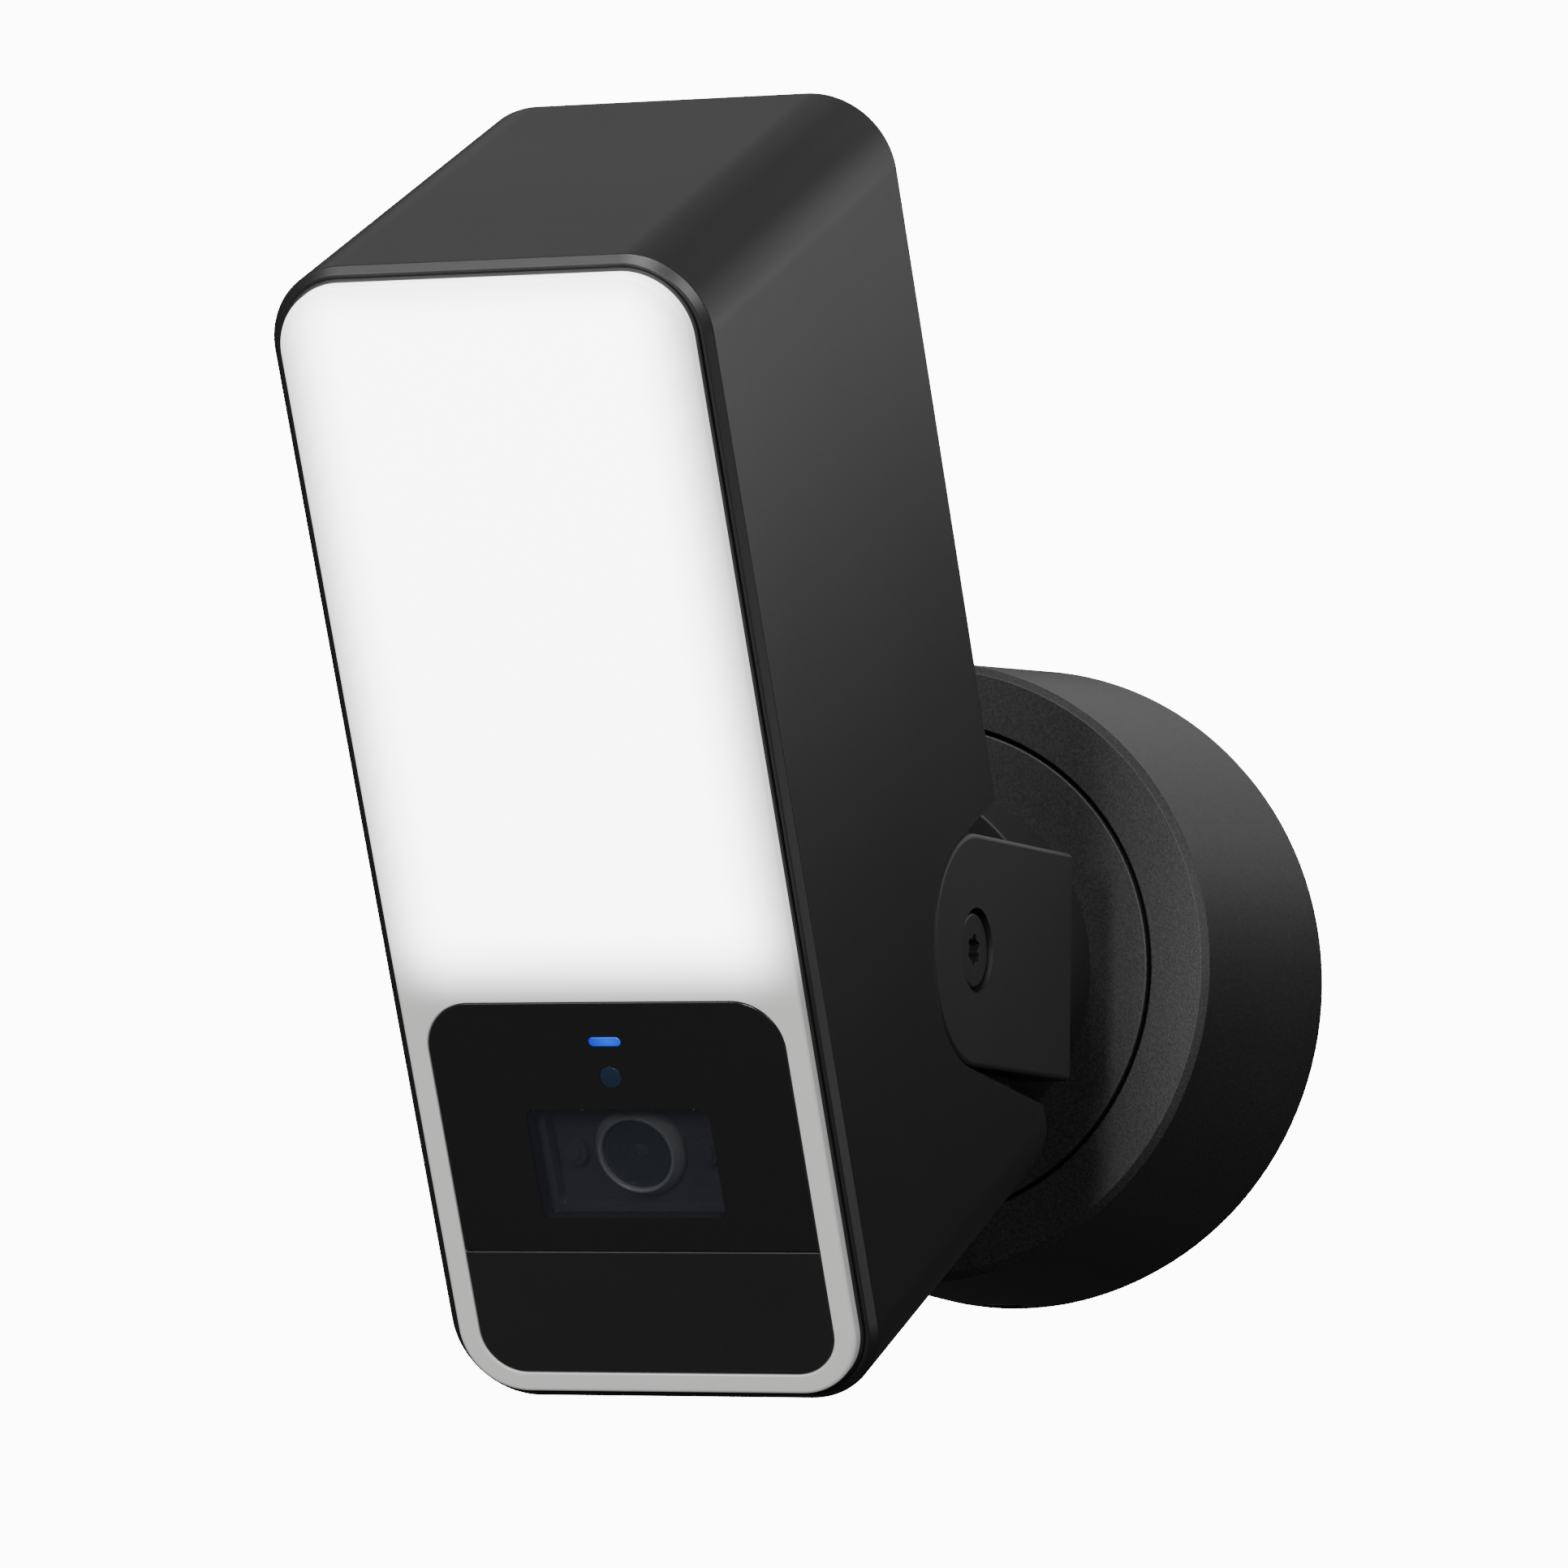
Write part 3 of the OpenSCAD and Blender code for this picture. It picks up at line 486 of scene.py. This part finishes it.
opalGlow = dict(middle=38, halfWidth=31, halfHeight=58, soft=9, dim=0.12, bright=7.5)


# the light behind the opal cover: glow = smooth(distance inside the field's half width) *
# smooth(inside its half height), and strength = dim + glow * (bright - dim)
def makeOpalFinish(v):
    material, tree, shader = newMaterial("opal_polycarbonate", {
        "Base Color": fromHex("#c2c2c0"), "Roughness": 0.32, "IOR": 1.585,
        "Emission Color": fromHex("#ffffff")})
    place = addNode(tree, "ShaderNodeTexCoord").outputs["Object"]
    centre = intoHead(np.array([[0, 0, v["middle"] * mm]]))[0]
    local = addNode(tree, "ShaderNodeMapping", {
        "Vector": place, "Location": centre.tolist(),
        "Rotation": (math.radians(headPlace["tilt"]), 0, 0)}, vector_type="TEXTURE")
    axes = addNode(tree, "ShaderNodeSeparateXYZ", {"Vector": local.outputs["Vector"]})
    fades = []
    for axis, half in (("X", v["halfWidth"]), ("Z", v["halfHeight"])):
        size = addNode(tree, "ShaderNodeMath", {0: axes.outputs[axis]}, operation="ABSOLUTE")
        fades.append(addNode(tree, "ShaderNodeMapRange", {
            "Value": size.outputs[0], "From Min": (half - v["soft"]) * mm,
            "From Max": (half + v["soft"]) * mm, "To Min": 1.0, "To Max": 0.0},
            interpolation_type="SMOOTHERSTEP"))
    glow = addNode(tree, "ShaderNodeMath", {0: fades[0].outputs["Result"], 1: fades[1].outputs["Result"]},
                   operation="MULTIPLY")
    strength = addNode(tree, "ShaderNodeMapRange", {"Value": glow.outputs[0], "To Min": v["dim"],
                                                    "To Max": v["bright"]})
    tree.links.new(strength.outputs["Result"], shader.inputs["Emission Strength"])
    return material


# opal polycarbonate, injection moulded and lit from behind: white with soft, darker borders
opalFinish = makeOpalFinish(opalGlow)
makeLightCover(lightCover, sensorPanel, opalFinish)

frontSeal = dict(outerWidth=72.1, outerHeight=193.6, radius=11.75, gap=0.7, front=2.1, back=6.0)


# a closed rubber ring that fills the slot between rim and cover, its front edges rounded
def makeFrontSeal(v):
    inner = v["gap"] * mm - 0.02 * mm
    path = filletPath([[0.05 * mm, v["back"] * mm], [0.05 * mm, v["front"] * mm],
                       [inner, v["front"] * mm], [inner, v["back"] * mm]], [0.2 * mm, 0.2 * mm])
    rows = rectRows(v["outerWidth"] * mm, v["outerHeight"] * mm, [v["radius"] * mm] * 4, path, steps=24)
    finishPiece(skin("front_seal", intoHead(rows), ends="loop"), "head", sealRubber,
                ["front_gasket"])


makeFrontSeal(frontSeal)
print("light cover and seal made")

cameraWindow = dict(width=32.4, height=19.4, radius=1.6, z=-55.1, face=0.12, step=3.05, back=4.25,
                    flange=0.8, edge=0.03)
statusLight = dict(width=5.7, height=1.7, radius=0.84, z=-33.5, fit=0.05, face=0.0, back=8.6, edge=0.3)
lightSensor = dict(radius=1.95, z=-39.8, fit=0.05, face=0.1, back=3.05, edge=0.1)


# a flat plate with rounded corners between two heights of the head; its first and last rows lie
# inside the outline by cap, which is less than the corner radius where that is more than the edge
def plateRows(v, low, high, radii):
    cap = min(3, 0.8 * min(radii)) * mm if min(radii) > v["edge"] else 1 * mm
    face, back = v["face"] * mm, v["back"] * mm
    path = filletPath([[cap, back], [0, back], [0, face], [cap, face]], [0.1 * mm, v["edge"] * mm])
    return intoHead(rectRows((v["width"] - 2 * v["fit"]) * mm, (high - low) * mm, [r * mm for r in radii],
                             path, z=(high + low) / 2 * mm, steps=20))


# a straight plug along the head's y that opens a hole of this shape
def plugRows(width, height, radius, z):
    path = [[0, -2 * mm], [0, 8 * mm]]
    return intoHead(rectRows(width * mm, height * mm, [radius * mm] * 4, path, z=z * mm))


def makeSensorPanel(v, window, light, sensor):
    top = skin("camera_panel_face", plateRows(v, v["seam"] + v["seamGap"], v["top"] - v["fit"],
                                              [v["topCorner"]] * 2 + [v["seamCorner"]] * 2))
    across = 2 * sensor["radius"]
    combine(top, skin("holes", [
        plugRows(window["width"], window["height"], window["radius"], window["z"]),
        plugRows(light["width"], light["height"], light["radius"], light["z"]),
        plugRows(across, across, sensor["radius"] - 0.001, sensor["z"])]))
    finishPiece(top, "head", glossBlack, ["camera_panel"], sharpAngle=30)
    low = skin("motion_cover_face", plateRows(v, v["bottom"] + v["fit"], v["seam"] - v["seamGap"],
                                              [v["seamCorner"]] * 2 + [v["bottomCorner"]] * 2))
    finishPiece(low, "head", coverBlack, ["motion_sensor_cover"])


makeSensorPanel(sensorPanel, cameraWindow, statusLight, lightSensor)


# the pane: flush in front, with a flange behind the panel
def makeCameraWindow(v):
    path = filletPath([[2 * mm, v["face"] * mm], [0, v["face"] * mm], [0, v["step"] * mm],
                       [-v["flange"] * mm, v["step"] * mm], [-v["flange"] * mm, v["back"] * mm],
                       [2 * mm, v["back"] * mm]], [v["edge"] * mm, 0.1 * mm, 0.1 * mm, 0.2 * mm])
    rows = rectRows((v["width"] - 0.1) * mm, (v["height"] - 0.1) * mm, [(v["radius"] - 0.05) * mm] * 4, path,
                    z=v["z"] * mm)
    pane = skin("camera_window_pane", intoHead(rows))
    finishPiece(pane, "head", smokedPanePaintedHaze, ["camera_window"])


makeCameraWindow(cameraWindow)


# a lit bar: colour = ramp(distance from its bright spot), deeper blue towards the ends
def makeStatusFinish(v, spot=(0.7, 0.15), reach=3.4):
    material, tree, shader = newMaterial("moulded_light_guide", {
        "Base Color": fromHex("#04103a"), "Roughness": 0.25, "IOR": 1.49, "Emission Strength": 1.1})
    place = addNode(tree, "ShaderNodeTexCoord").outputs["Object"]
    centre = intoHead(np.array([[spot[0] * mm, v["face"] * mm, (v["z"] + spot[1]) * mm]]))[0]
    local = addNode(tree, "ShaderNodeMapping", {
        "Vector": place, "Location": centre.tolist(), "Rotation": (math.radians(headPlace["tilt"]), 0, 0),
        "Scale": (reach * mm, reach * mm, 1.3 * mm)}, vector_type="TEXTURE")
    ball = addNode(tree, "ShaderNodeTexGradient", {"Vector": local.outputs["Vector"]},
                   gradient_type="SPHERICAL")
    ramp = addNode(tree, "ShaderNodeValToRGB", {"Fac": ball.outputs["Fac"]})
    ramp.color_ramp.elements[0].color = fromHex("#0a1cf0")
    ramp.color_ramp.elements[1].color = fromHex("#0070ff")
    tree.links.new(ramp.outputs["Color"], shader.inputs["Emission Color"])
    return material


# moulded acrylic guide with a blue lamp behind it: a glowing bar
statusBlue = makeStatusFinish(statusLight)


# front trim: the lit bar and the round filter over the light sensor
def makeIndicators(light, sensor):
    middle, half = light["z"], light["height"] / 2 - light["fit"]
    bar = skin("status_light_bar", plateRows(light, middle - half, middle + half,
                                             [light["radius"] - light["fit"] - 0.01] * 4))
    finishPiece(bar, "head", statusBlue, ["status_light_guide"])
    radius = sensor["radius"] - sensor["fit"]
    profile = filletPath([[0, sensor["face"]], [radius, sensor["face"]], [radius, sensor["back"]],
                          [0, sensor["back"]]], [sensor["edge"], 0.1])
    rows = intoHead(turnedRows(profile * mm, "head", (0, 0, sensor["z"] * mm), 48))
    dot = skin("light_sensor_filter", rows, ends="poles")
    finishPiece(dot, "head", filterBlue, ["light_sensor_window"])


makeIndicators(statusLight, lightSensor)
print("sensor panel made")

lensParts = dict(z=-55.5, outer=7.9, inner=6.1, bezelFront=4.4, bezelBack=8.4, glassTop=4.55, glassBack=5.6,
                 dome=22.0, barrelBack=20)


# the lens, all turned about one axis: a crested bezel, a domed front glass, a barrel with stepped
# baffles round a small inner lens, and the rear lens group; dome height = R - sqrt(R^2 - r^2)
def makeLens(v):
    at = (0, 0, v["z"] * mm)
    outer, inner = v["outer"], v["inner"]

    def place(name, profile, ends):
        return skin(name, intoHead(turnedRows(np.array(profile) * mm, "head", at, 96)), ends=ends)

    front = v["bezelFront"]
    bezel = filletPath([[inner, v["bezelBack"]], [inner, front + 0.3], [inner + 0.5, front],
                        [outer - 0.3, front + 1.5], [outer, front + 2.1], [outer, v["bezelBack"]]],
                       [0.15, 0.3, 0.6, 0.3], steps=4)
    finishPiece(place("lens_bezel", bezel, "loop"), "head", bezelGrey, ["lens_ring"],
                sharpAngle=60)
    radius = np.linspace(0, inner - 0.05, 12)
    dome = np.stack([radius, v["glassTop"] + v["dome"] - np.sqrt(v["dome"] ** 2 - radius ** 2)], axis=-1)
    glass = np.concatenate([dome, [[inner - 0.05, v["glassBack"]], [0, v["glassBack"]]]])
    finishPiece(place("front_lens", glass, "poles"), "head", lensGlass, ["lens_front_glass"])
    steps = [[inner - 0.05, 5.7], [5.2, 5.75], [5.1, 6.0], [3.5, 6.05], [3.4, 6.3], [2.3, 6.35], [2.2, 6.6],
             [1.3, 6.65], [1.3, 8.2], [inner - 0.05, 8.3], [inner, v["barrelBack"]],
             [outer, v["barrelBack"]], [outer, 8.45], [inner - 0.05, 8.45]]
    finishPiece(place("lens_barrel_baffles", steps, "loop"), "head", baffleTeal,
                ["lens_barrel"], sharpAngle=30)
    swell = np.linspace(0, math.pi / 2, 8)
    # two small beads, a pale ring and a red bead in the middle, whose colours are painted glints
    for name, radius, top, finish in (("inner_lens", 1.25, 6.7, paleGlintPaint),
                                      ("aperture_lens", 0.5, 6.4, redGlintPaint)):
        small = np.stack([radius * np.sin(swell), top + 0.4 * (1 - np.cos(swell))], axis=-1)
        bead = np.concatenate([small, [[radius, top + 0.8], [0, top + 0.8]]])
        finishPiece(place(name, bead, "poles"), "head", finish, sharpAngle=60)
    rear = np.stack([6.05 * np.sin(swell), 13.9 - 0.9 * np.cos(swell)], axis=-1)
    group = np.concatenate([rear, [[6.05, 15.6], [5.6, 16.0], [0, 16.0]]])
    finishPiece(place("rear_lens_group", group, "poles"), "head", lensGlass, ["rear_lens"])


# anodised baffles: dull teal-black rings
baffleTeal = mouldedFinish("anodised_turned_aluminium", "#6d7c80", 0.4, 0.3, 0.005, mottle=0.1)
# sand-blasted and anodised: a soft grey band with a broad highlight
bezelGrey = mouldedFinish("sand_blasted_aluminium", "#b4b8ba", 0.32, 0.2, 0.006, mottle=0.05,
                          surface={"Specular IOR Level": 0.8})
# coated glass: a pale ring round the middle of the lens, its light colour a painted glint
paleGlintPaint = mouldedFinish("pale_painted_glint_glass", "#a9bcbc", 0.1, 0.8, 0.001, mottle=0.1,
                         surface={"Coat Weight": 1.0})
# coated glass bead in the middle of the lens: its bright red colour is a painted glint, and its coat is
# bright where a light strikes it
redGlintPaint = mouldedFinish("red_painted_glint_glass", "#f04038", 0.08, 0.8, 0.001, mottle=0.3,
                         surface={"Coat Weight": 1.0, "IOR": 1.9})
makeLens(lensParts)
print("lens made")

baseCover = dict(wallRadius=58, frontRadius=54.8, depth=53.2, start=2.0, edgeOut=1.1, edgeIn=1.25,
                 recess=44.2, floor=49.5, floorThick=3.0, bush=21.0, wall=2.5, stopRadius=38, stopHalf=2.5,
                 stopSweep=95, screwHeight=8, screwHole=1.8, screwHoleFrom=50, screwHead=3.4,
                 screwSeat=56, screwHeadTo=60)


# the turned cover with the stop's arc slot in its floor and a screw hole above and below
def makeBaseCover(v):
    corners = np.array([
        [v["wallRadius"] - v["wall"], v["start"]], [v["wallRadius"], v["start"]],
        [v["frontRadius"], v["depth"] - v["edgeOut"]], [v["frontRadius"] - v["edgeIn"], v["depth"]],
        [v["recess"], v["depth"]], [v["recess"], v["floor"]], [v["bush"], v["floor"]],
        [v["bush"], v["floor"] - v["floorThick"]],
        [v["frontRadius"] - v["wall"], v["floor"] - v["floorThick"]],
        [v["wallRadius"] - v["wall"], v["start"]]])
    radii = np.array([0.4, 0.3, 0.25, 0.3, 0.2, 0.1, 0.1, 0.5])
    profile = filletPath(corners * mm, radii * mm, steps=4)[:-1]
    cover = skin("base_cover_shell", turnedRows(profile, steps=160), ends="loop")
    turn = np.radians(np.linspace(-90 - v["stopSweep"], -90 + v["stopSweep"], 60))[:, None]
    across = (v["stopRadius"] + np.array([-1, 1, 1, -1]) * v["stopHalf"])[None] * mm
    out = (v["floor"] + np.array([-4.0, -4.0, 1.0, 1.0]))[None] * mm + 0 * turn
    combine(cover, skin("slot", np.stack([across * np.cos(turn), -out, across * np.sin(turn)], axis=-1)))
    drill = np.array([[v["screwHole"], v["screwHoleFrom"]], [v["screwHole"], v["screwSeat"]],
                      [v["screwHead"], v["screwSeat"]], [v["screwHead"], v["screwHeadTo"]]]) * mm
    at = (0, -v["screwHeight"] * mm, 0)
    combine(cover, skin("drills", [turnedRows(drill, "z", at, 40), turnedRows(drill, "below", at, 40)]))
    finishPiece(cover, "root", sparkBlack, ["base_cover"], sharpAngle=35)


makeBaseCover(baseCover)

baseScrews = dict(out=8, shank=1.6, tip=47.5, seat=56.0, top=57.4, head=3.2, socket=1.45, socketDepth=0.9)


# button heads: a turned shank and rounded head, cut by a six-sided socket
def makeBaseScrews(v):
    profile = filletPath([[0, v["tip"]], [v["shank"], v["tip"]], [v["shank"], v["seat"]],
                          [v["head"], v["seat"]], [v["head"], v["top"]], [0, v["top"]]],
                         [0.3, 0.1, 0.15, 0.6])
    at = (0, -v["out"] * mm, 0)
    screws = skin("base_cover_screws", [turnedRows(profile * mm, axis, at, 48) for axis in ("z", "below")],
                  ends="poles")
    socket = np.array([[v["socket"], v["top"] - v["socketDepth"]], [v["socket"], v["top"] + 1]]) * mm
    combine(screws, skin("sockets", [turnedRows(socket, axis, at, 6) for axis in ("z", "below")]))
    finishPiece(screws, "root", zincSteel, ["cover_screws"], sharpAngle=35)


makeBaseScrews(baseScrews)

turntable = dict(radius=43.5, face=53.2, back=49.9, bore=14, seat=51.5, seatRadius=18.02, edge=0.35,
                 stopRadius=38, stopPin=2, stopTip=47)


# the turned disc with the spindle's seat and the stop pin under its edge
def makeTurntable(v):
    corners = [[v["bore"], v["seat"]], [v["bore"], v["face"]], [v["radius"], v["face"]],
               [v["radius"], v["back"]], [v["seatRadius"], v["back"]], [v["seatRadius"], v["seat"]],
               [v["bore"], v["seat"]]]
    profile = filletPath(corners, [0.3, v["edge"], 0.2, 0.1, 0.1], steps=4)[:-1]
    disc = skin("turntable_disc", turnedRows(profile * mm, steps=160), ends="loop")
    pin = np.array([[v["stopPin"], v["stopTip"]], [v["stopPin"], v["back"] + 1]]) * mm
    combine(disc, skin("pin", turnedRows(pin, "wall", (0, 0, -v["stopRadius"] * mm), 32)), "UNION")
    finishPiece(disc, "swivel", sparkBlack, ["turntable"], sharpAngle=35)


makeTurntable(turntable)

wallSeal = dict(outer=57.6, inner=54.0, thick=2.0, edge=0.5)


def makeWallSeal(v):
    profile = filletPath([[v["inner"], 0.0], [v["inner"], v["thick"]], [v["outer"], v["thick"]],
                          [v["outer"], 0.0], [v["inner"], 0.0]], [v["edge"], v["edge"], v["edge"]])[:-1]
    ring = skin("wall_seal_ring", turnedRows(profile * mm, steps=128), ends="loop")
    finishPiece(ring, "root", sealRubber, ["wall_gasket"])


makeWallSeal(wallSeal)
print("base made")

yokeCasting = dict(outerHalf=38.0, innerHalf=32.7, pivotOut=120.5, drop=1.0, webFront=78.7, webBack=72.7,
                   corner=4.0, earRadius=19.6, edge=0.9, hubRadius=33.0, hubFrom=53.2, hubTop=73.7,
                   hubWall=4.0, hubRoof=71.2, towerCircle=26.0, tower=3.8, pilot=1.6, lead=5.0,
                   shoulderHole=4.05, counterbore=7.15, counterboreFloor=34.8)


# a U in plan met with the ears' side outline, edges rounded, on a hollow turned hub
def makeYoke(v):
    inner, outer, web = v["innerHalf"], v["outerHalf"], -v["webFront"]
    plan = filletPath([[-inner, -150], [-inner, web], [inner, web], [inner, -150], [outer, -150],
                       [outer, -v["webBack"]], [-outer, -v["webBack"]], [-outer, -150]],
                      [1.0, 1.0, 0, 0, v["corner"], v["corner"]], steps=8)
    casting = skin("yoke_casting", prismRows(plan * mm, -50 * mm, 50 * mm, "z"))
    turn = np.linspace(math.pi / 2, 1.5 * math.pi, 64)
    ear = v["earRadius"] * np.stack([np.cos(turn), np.sin(turn)], axis=-1) + [-v["pivotOut"], -v["drop"]]
    back = [[-70, ear[-1, 1]], [-70, ear[0, 1]]]
    ears = skin("ears", prismRows(np.concatenate([ear, back]) * mm, -50 * mm, 50 * mm, "x"))
    combine(casting, ears, "INTERSECT")
    keepShape(roundEdges(casting, v["edge"], 40))
    hubIn = v["hubRadius"] - v["hubWall"]
    hub = filletPath([[v["lead"], v["hubRoof"]], [v["lead"], v["hubTop"]], [v["hubRadius"], v["hubTop"]],
                      [v["hubRadius"], v["hubFrom"]], [hubIn, v["hubFrom"]], [hubIn, v["hubRoof"]],
                      [v["lead"], v["hubRoof"]]], [0.1, 0.8, 0.2, 0.2, 1.0])[:-1]
    combine(casting, skin("hub", turnedRows(hub * mm, steps=128), ends="loop"), "UNION")
    places = [(v["towerCircle"] * math.cos(a) * mm, 0, v["towerCircle"] * math.sin(a) * mm)
              for a in np.radians([45, 135, 225, 315])]
    tower = np.array([[v["tower"], v["hubFrom"]], [v["tower"], v["hubRoof"] + 1]]) * mm
    combine(casting, skin("towers", [turnedRows(tower, "wall", at, 32) for at in places]), "UNION")
    pilot = np.array([[v["pilot"], v["hubFrom"] - 1], [v["pilot"], v["hubFrom"] + 11]]) * mm
    lead = np.array([[v["lead"], v["hubTop"] - 5], [v["lead"], v["webFront"] + 5]]) * mm
    bore = np.array([[v["shoulderHole"], inner - 1], [v["shoulderHole"], v["counterboreFloor"]],
                     [v["counterbore"], v["counterboreFloor"]], [v["counterbore"], outer + 1]]) * mm
    pivot = (0, -v["pivotOut"] * mm, -v["drop"] * mm)
    drills = [turnedRows(pilot, "wall", at, 24) for at in places] + [turnedRows(lead, "wall", steps=48)]
    drills += [turnedRows(bore, axis, pivot, 72) for axis in ("x", "left")]
    combine(casting, skin("drills", drills))
    finishPiece(casting, "swivel", yokeBlackPaintedLighter, ["yoke"], bevel=0.12, sharpAngle=50)


makeYoke(yokeCasting)

pivotScrews = dict(thread=3.0, threadTip=23.0, shoulder=4.0, shoulderFrom=31.9, head=6.3, headFrom=34.9,
                   headTop=37.4, edge=0.5, socket=2.45, lobe=0.34, socketDepth=2.2)


# shoulder screws: turned, with a six-lobed socket, r = socket + lobe * cos 6t
def makePivotScrews(v):
    profile = filletPath([[0, v["threadTip"]], [v["thread"], v["threadTip"]],
                          [v["thread"], v["shoulderFrom"]], [v["shoulder"], v["shoulderFrom"]],
                          [v["shoulder"], v["headFrom"]], [v["head"], v["headFrom"]],
                          [v["head"], v["headTop"]], [0, v["headTop"]]],
                         [0.5, 0.1, 0.1, 0.1, 0.1, v["edge"]])
    screws = skin("pivot_screws_turned", [intoHead(turnedRows(profile * mm, axis, pivotInHead, 72))
                                          for axis in ("x", "left")], ends="poles")
    turn = np.linspace(0, 2 * math.pi, 72, endpoint=False)
    reach = (v["socket"] + v["lobe"] * np.cos(6 * turn)) * mm
    star = np.stack([reach * np.cos(turn), reach * np.sin(turn)], axis=-1) + np.array(pivotInHead)[1:]
    cuts = []
    for side in (-1, 1):
        low, high = sorted((side * (v["headTop"] - v["socketDepth"]) * mm, side * (v["headTop"] + 1) * mm))
        cuts.append(intoHead(prismRows(star, low, high, "x")))
    combine(screws, skin("sockets", cuts))
    finishPiece(screws, "head", oxideBlack, ["pivot_screws"], bevel=0.08, sharpAngle=50)


makePivotScrews(pivotScrews)
print("yoke and pivot screws made")

rubberParts = dict(
    hub=dict(outer=4.95, lip=7.0, hole=3.0, start=69.0, seat=78.7, end=79.9),
    head=dict(outer=4.95, lip=7.0, hole=3.0, start=84.0, inner=85.5, seat=88.5, end=89.7),
    wall=dict(outer=11.95, lip=15.0, hole=5.0, start=0.0, seat=2.5, end=4.5),
    button=dict(radius=2.5, flange=3.4, low=-98.3, mid=-95.8, top=-94.6, y=76.0))


# turned rubber: a sleeve with a rounded lip for each lead, and the domed reset button
def makeRubberParts(hub, head, wall, button):
    for name, v, body, node in (("hub_lead_grommet", hub, "swivel", "hub_grommet"),
                                ("wall_cable_grommet", wall, "root", "cable_grommet")):
        profile = filletPath([[v["hole"], v["start"]], [v["hole"], v["end"]], [v["lip"], v["end"]],
                              [v["lip"], v["seat"]], [v["outer"], v["seat"]], [v["outer"], v["start"]],
                              [v["hole"], v["start"]]], [0.5, 0.5, 0.1, 0.1, 0.2])[:-1]
        sleeve = skin(name, turnedRows(profile * mm, steps=64), ends="loop")
        finishPiece(sleeve, body, sealRubber, [node])
    profile = filletPath([[head["hole"], head["start"]], [head["hole"], head["end"]],
                          [head["lip"], head["end"]], [head["lip"], head["seat"]],
                          [head["outer"], head["seat"]], [head["outer"], head["inner"]],
                          [head["lip"], head["inner"]], [head["lip"], head["start"]],
                          [head["hole"], head["start"]]],
                         [0.5, 0.5, 0.1, 0.1, 0.1, 0.1, 0.4])[:-1]
    at = (0, 0, -headPlace["pivotBelow"])
    sleeve = skin("head_lead_grommet", intoHead(turnedRows(profile * mm, "head", at, 64)), ends="loop")
    finishPiece(sleeve, "head", sealRubber, ["head_grommet"])
    profile = filletPath([[0, button["low"]], [button["radius"], button["low"]],
                          [button["radius"], button["mid"]], [button["flange"], button["mid"]],
                          [button["flange"], button["top"]], [0, button["top"]]], [0.6, 0.1, 0.1, 0.2])
    rows = intoHead(turnedRows(profile * mm, "z", (0, button["y"] * mm, 0), 48))
    key = skin("reset_key", rows, ends="poles")
    finishPiece(key, "button", sealRubber, ["reset_button"])


makeRubberParts(**rubberParts)
print("rubber parts made")

slotFinishes = dict(
    black_casting=castBlack, base_moulding=sparkBlack, opal_cover=opalFinish, gloss_black=glossBlack,
    matte_black=matteBlack, seal_rubber=sealRubber, white_plastic=whitePlastic, circuit_board=circuitGreen,
    chips=chipBlack, led_yellow=phosphorYellow, status_blue=statusBlue, clear_pane=smokedPanePaintedHaze,
    lens_glass=lensGlass, bare_metal=bareAluminium, plated_steel=zincSteel, black_steel=blackSteel,
    brass=brassMetal, nylon=nylonWhite)
nodeFinishes = dict(camera_housing=frameGrey, lens_holder=frameGrey, infrared_leds=frameGrey)


# every CAD piece that stays takes the finish of its slot, or its own where it has one
def finishNodes():
    slots = {part["node"]: part["material_slot"] for part in frame["record"]["subparts"]}
    for node in nodes.values():
        name = node["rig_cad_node"]
        node.data.materials.clear()
        node.data.materials.append(nodeFinishes.get(name, slotFinishes[slots[name]]))


finishNodes()
print("inner parts finished")

floorDisc = dict(radius=1.6, top=-0.34, thick=0.02)


# a wide round sheet of backdrop paper below the lamp
def makeFloor(v):
    turn = np.linspace(0, 2 * math.pi, 96, endpoint=False)
    ring = np.stack([v["radius"] * np.cos(turn), v["radius"] * np.sin(turn)], axis=-1)
    floor = skin("floor", prismRows(ring, v["top"] - v["thick"], v["top"], "z"))
    floor.data.materials.append(newMaterial("matt_backdrop_paper", {"Base Color": fromHex("#efefee"),
                                                                    "Roughness": 0.9})[0])
    floor.visible_glossy = False  # keeps the panel dark
    floor.visible_diffuse = False  # keeps the lamp's underside dark


makeFloor(floorDisc)

studioLight = dict(seen=12.0, ambient=0.041)


# the studio: white where the camera looks past the lamp, and a weak even light elsewhere
def makeStudio(v):
    world = bpy.data.worlds.new("studio")
    world.use_nodes = True
    bpy.context.scene.world = world
    tree = world.node_tree
    background = tree.nodes["Background"]
    background.inputs["Color"].default_value = (1, 1, 1, 1)
    seen = addNode(tree, "ShaderNodeLightPath").outputs["Is Camera Ray"]
    level = addNode(tree, "ShaderNodeMapRange", {"Value": seen, "To Min": v["ambient"], "To Max": v["seen"]})
    tree.links.new(level.outputs["Result"], background.inputs["Strength"])


makeStudio(studioLight)
print("studio made")
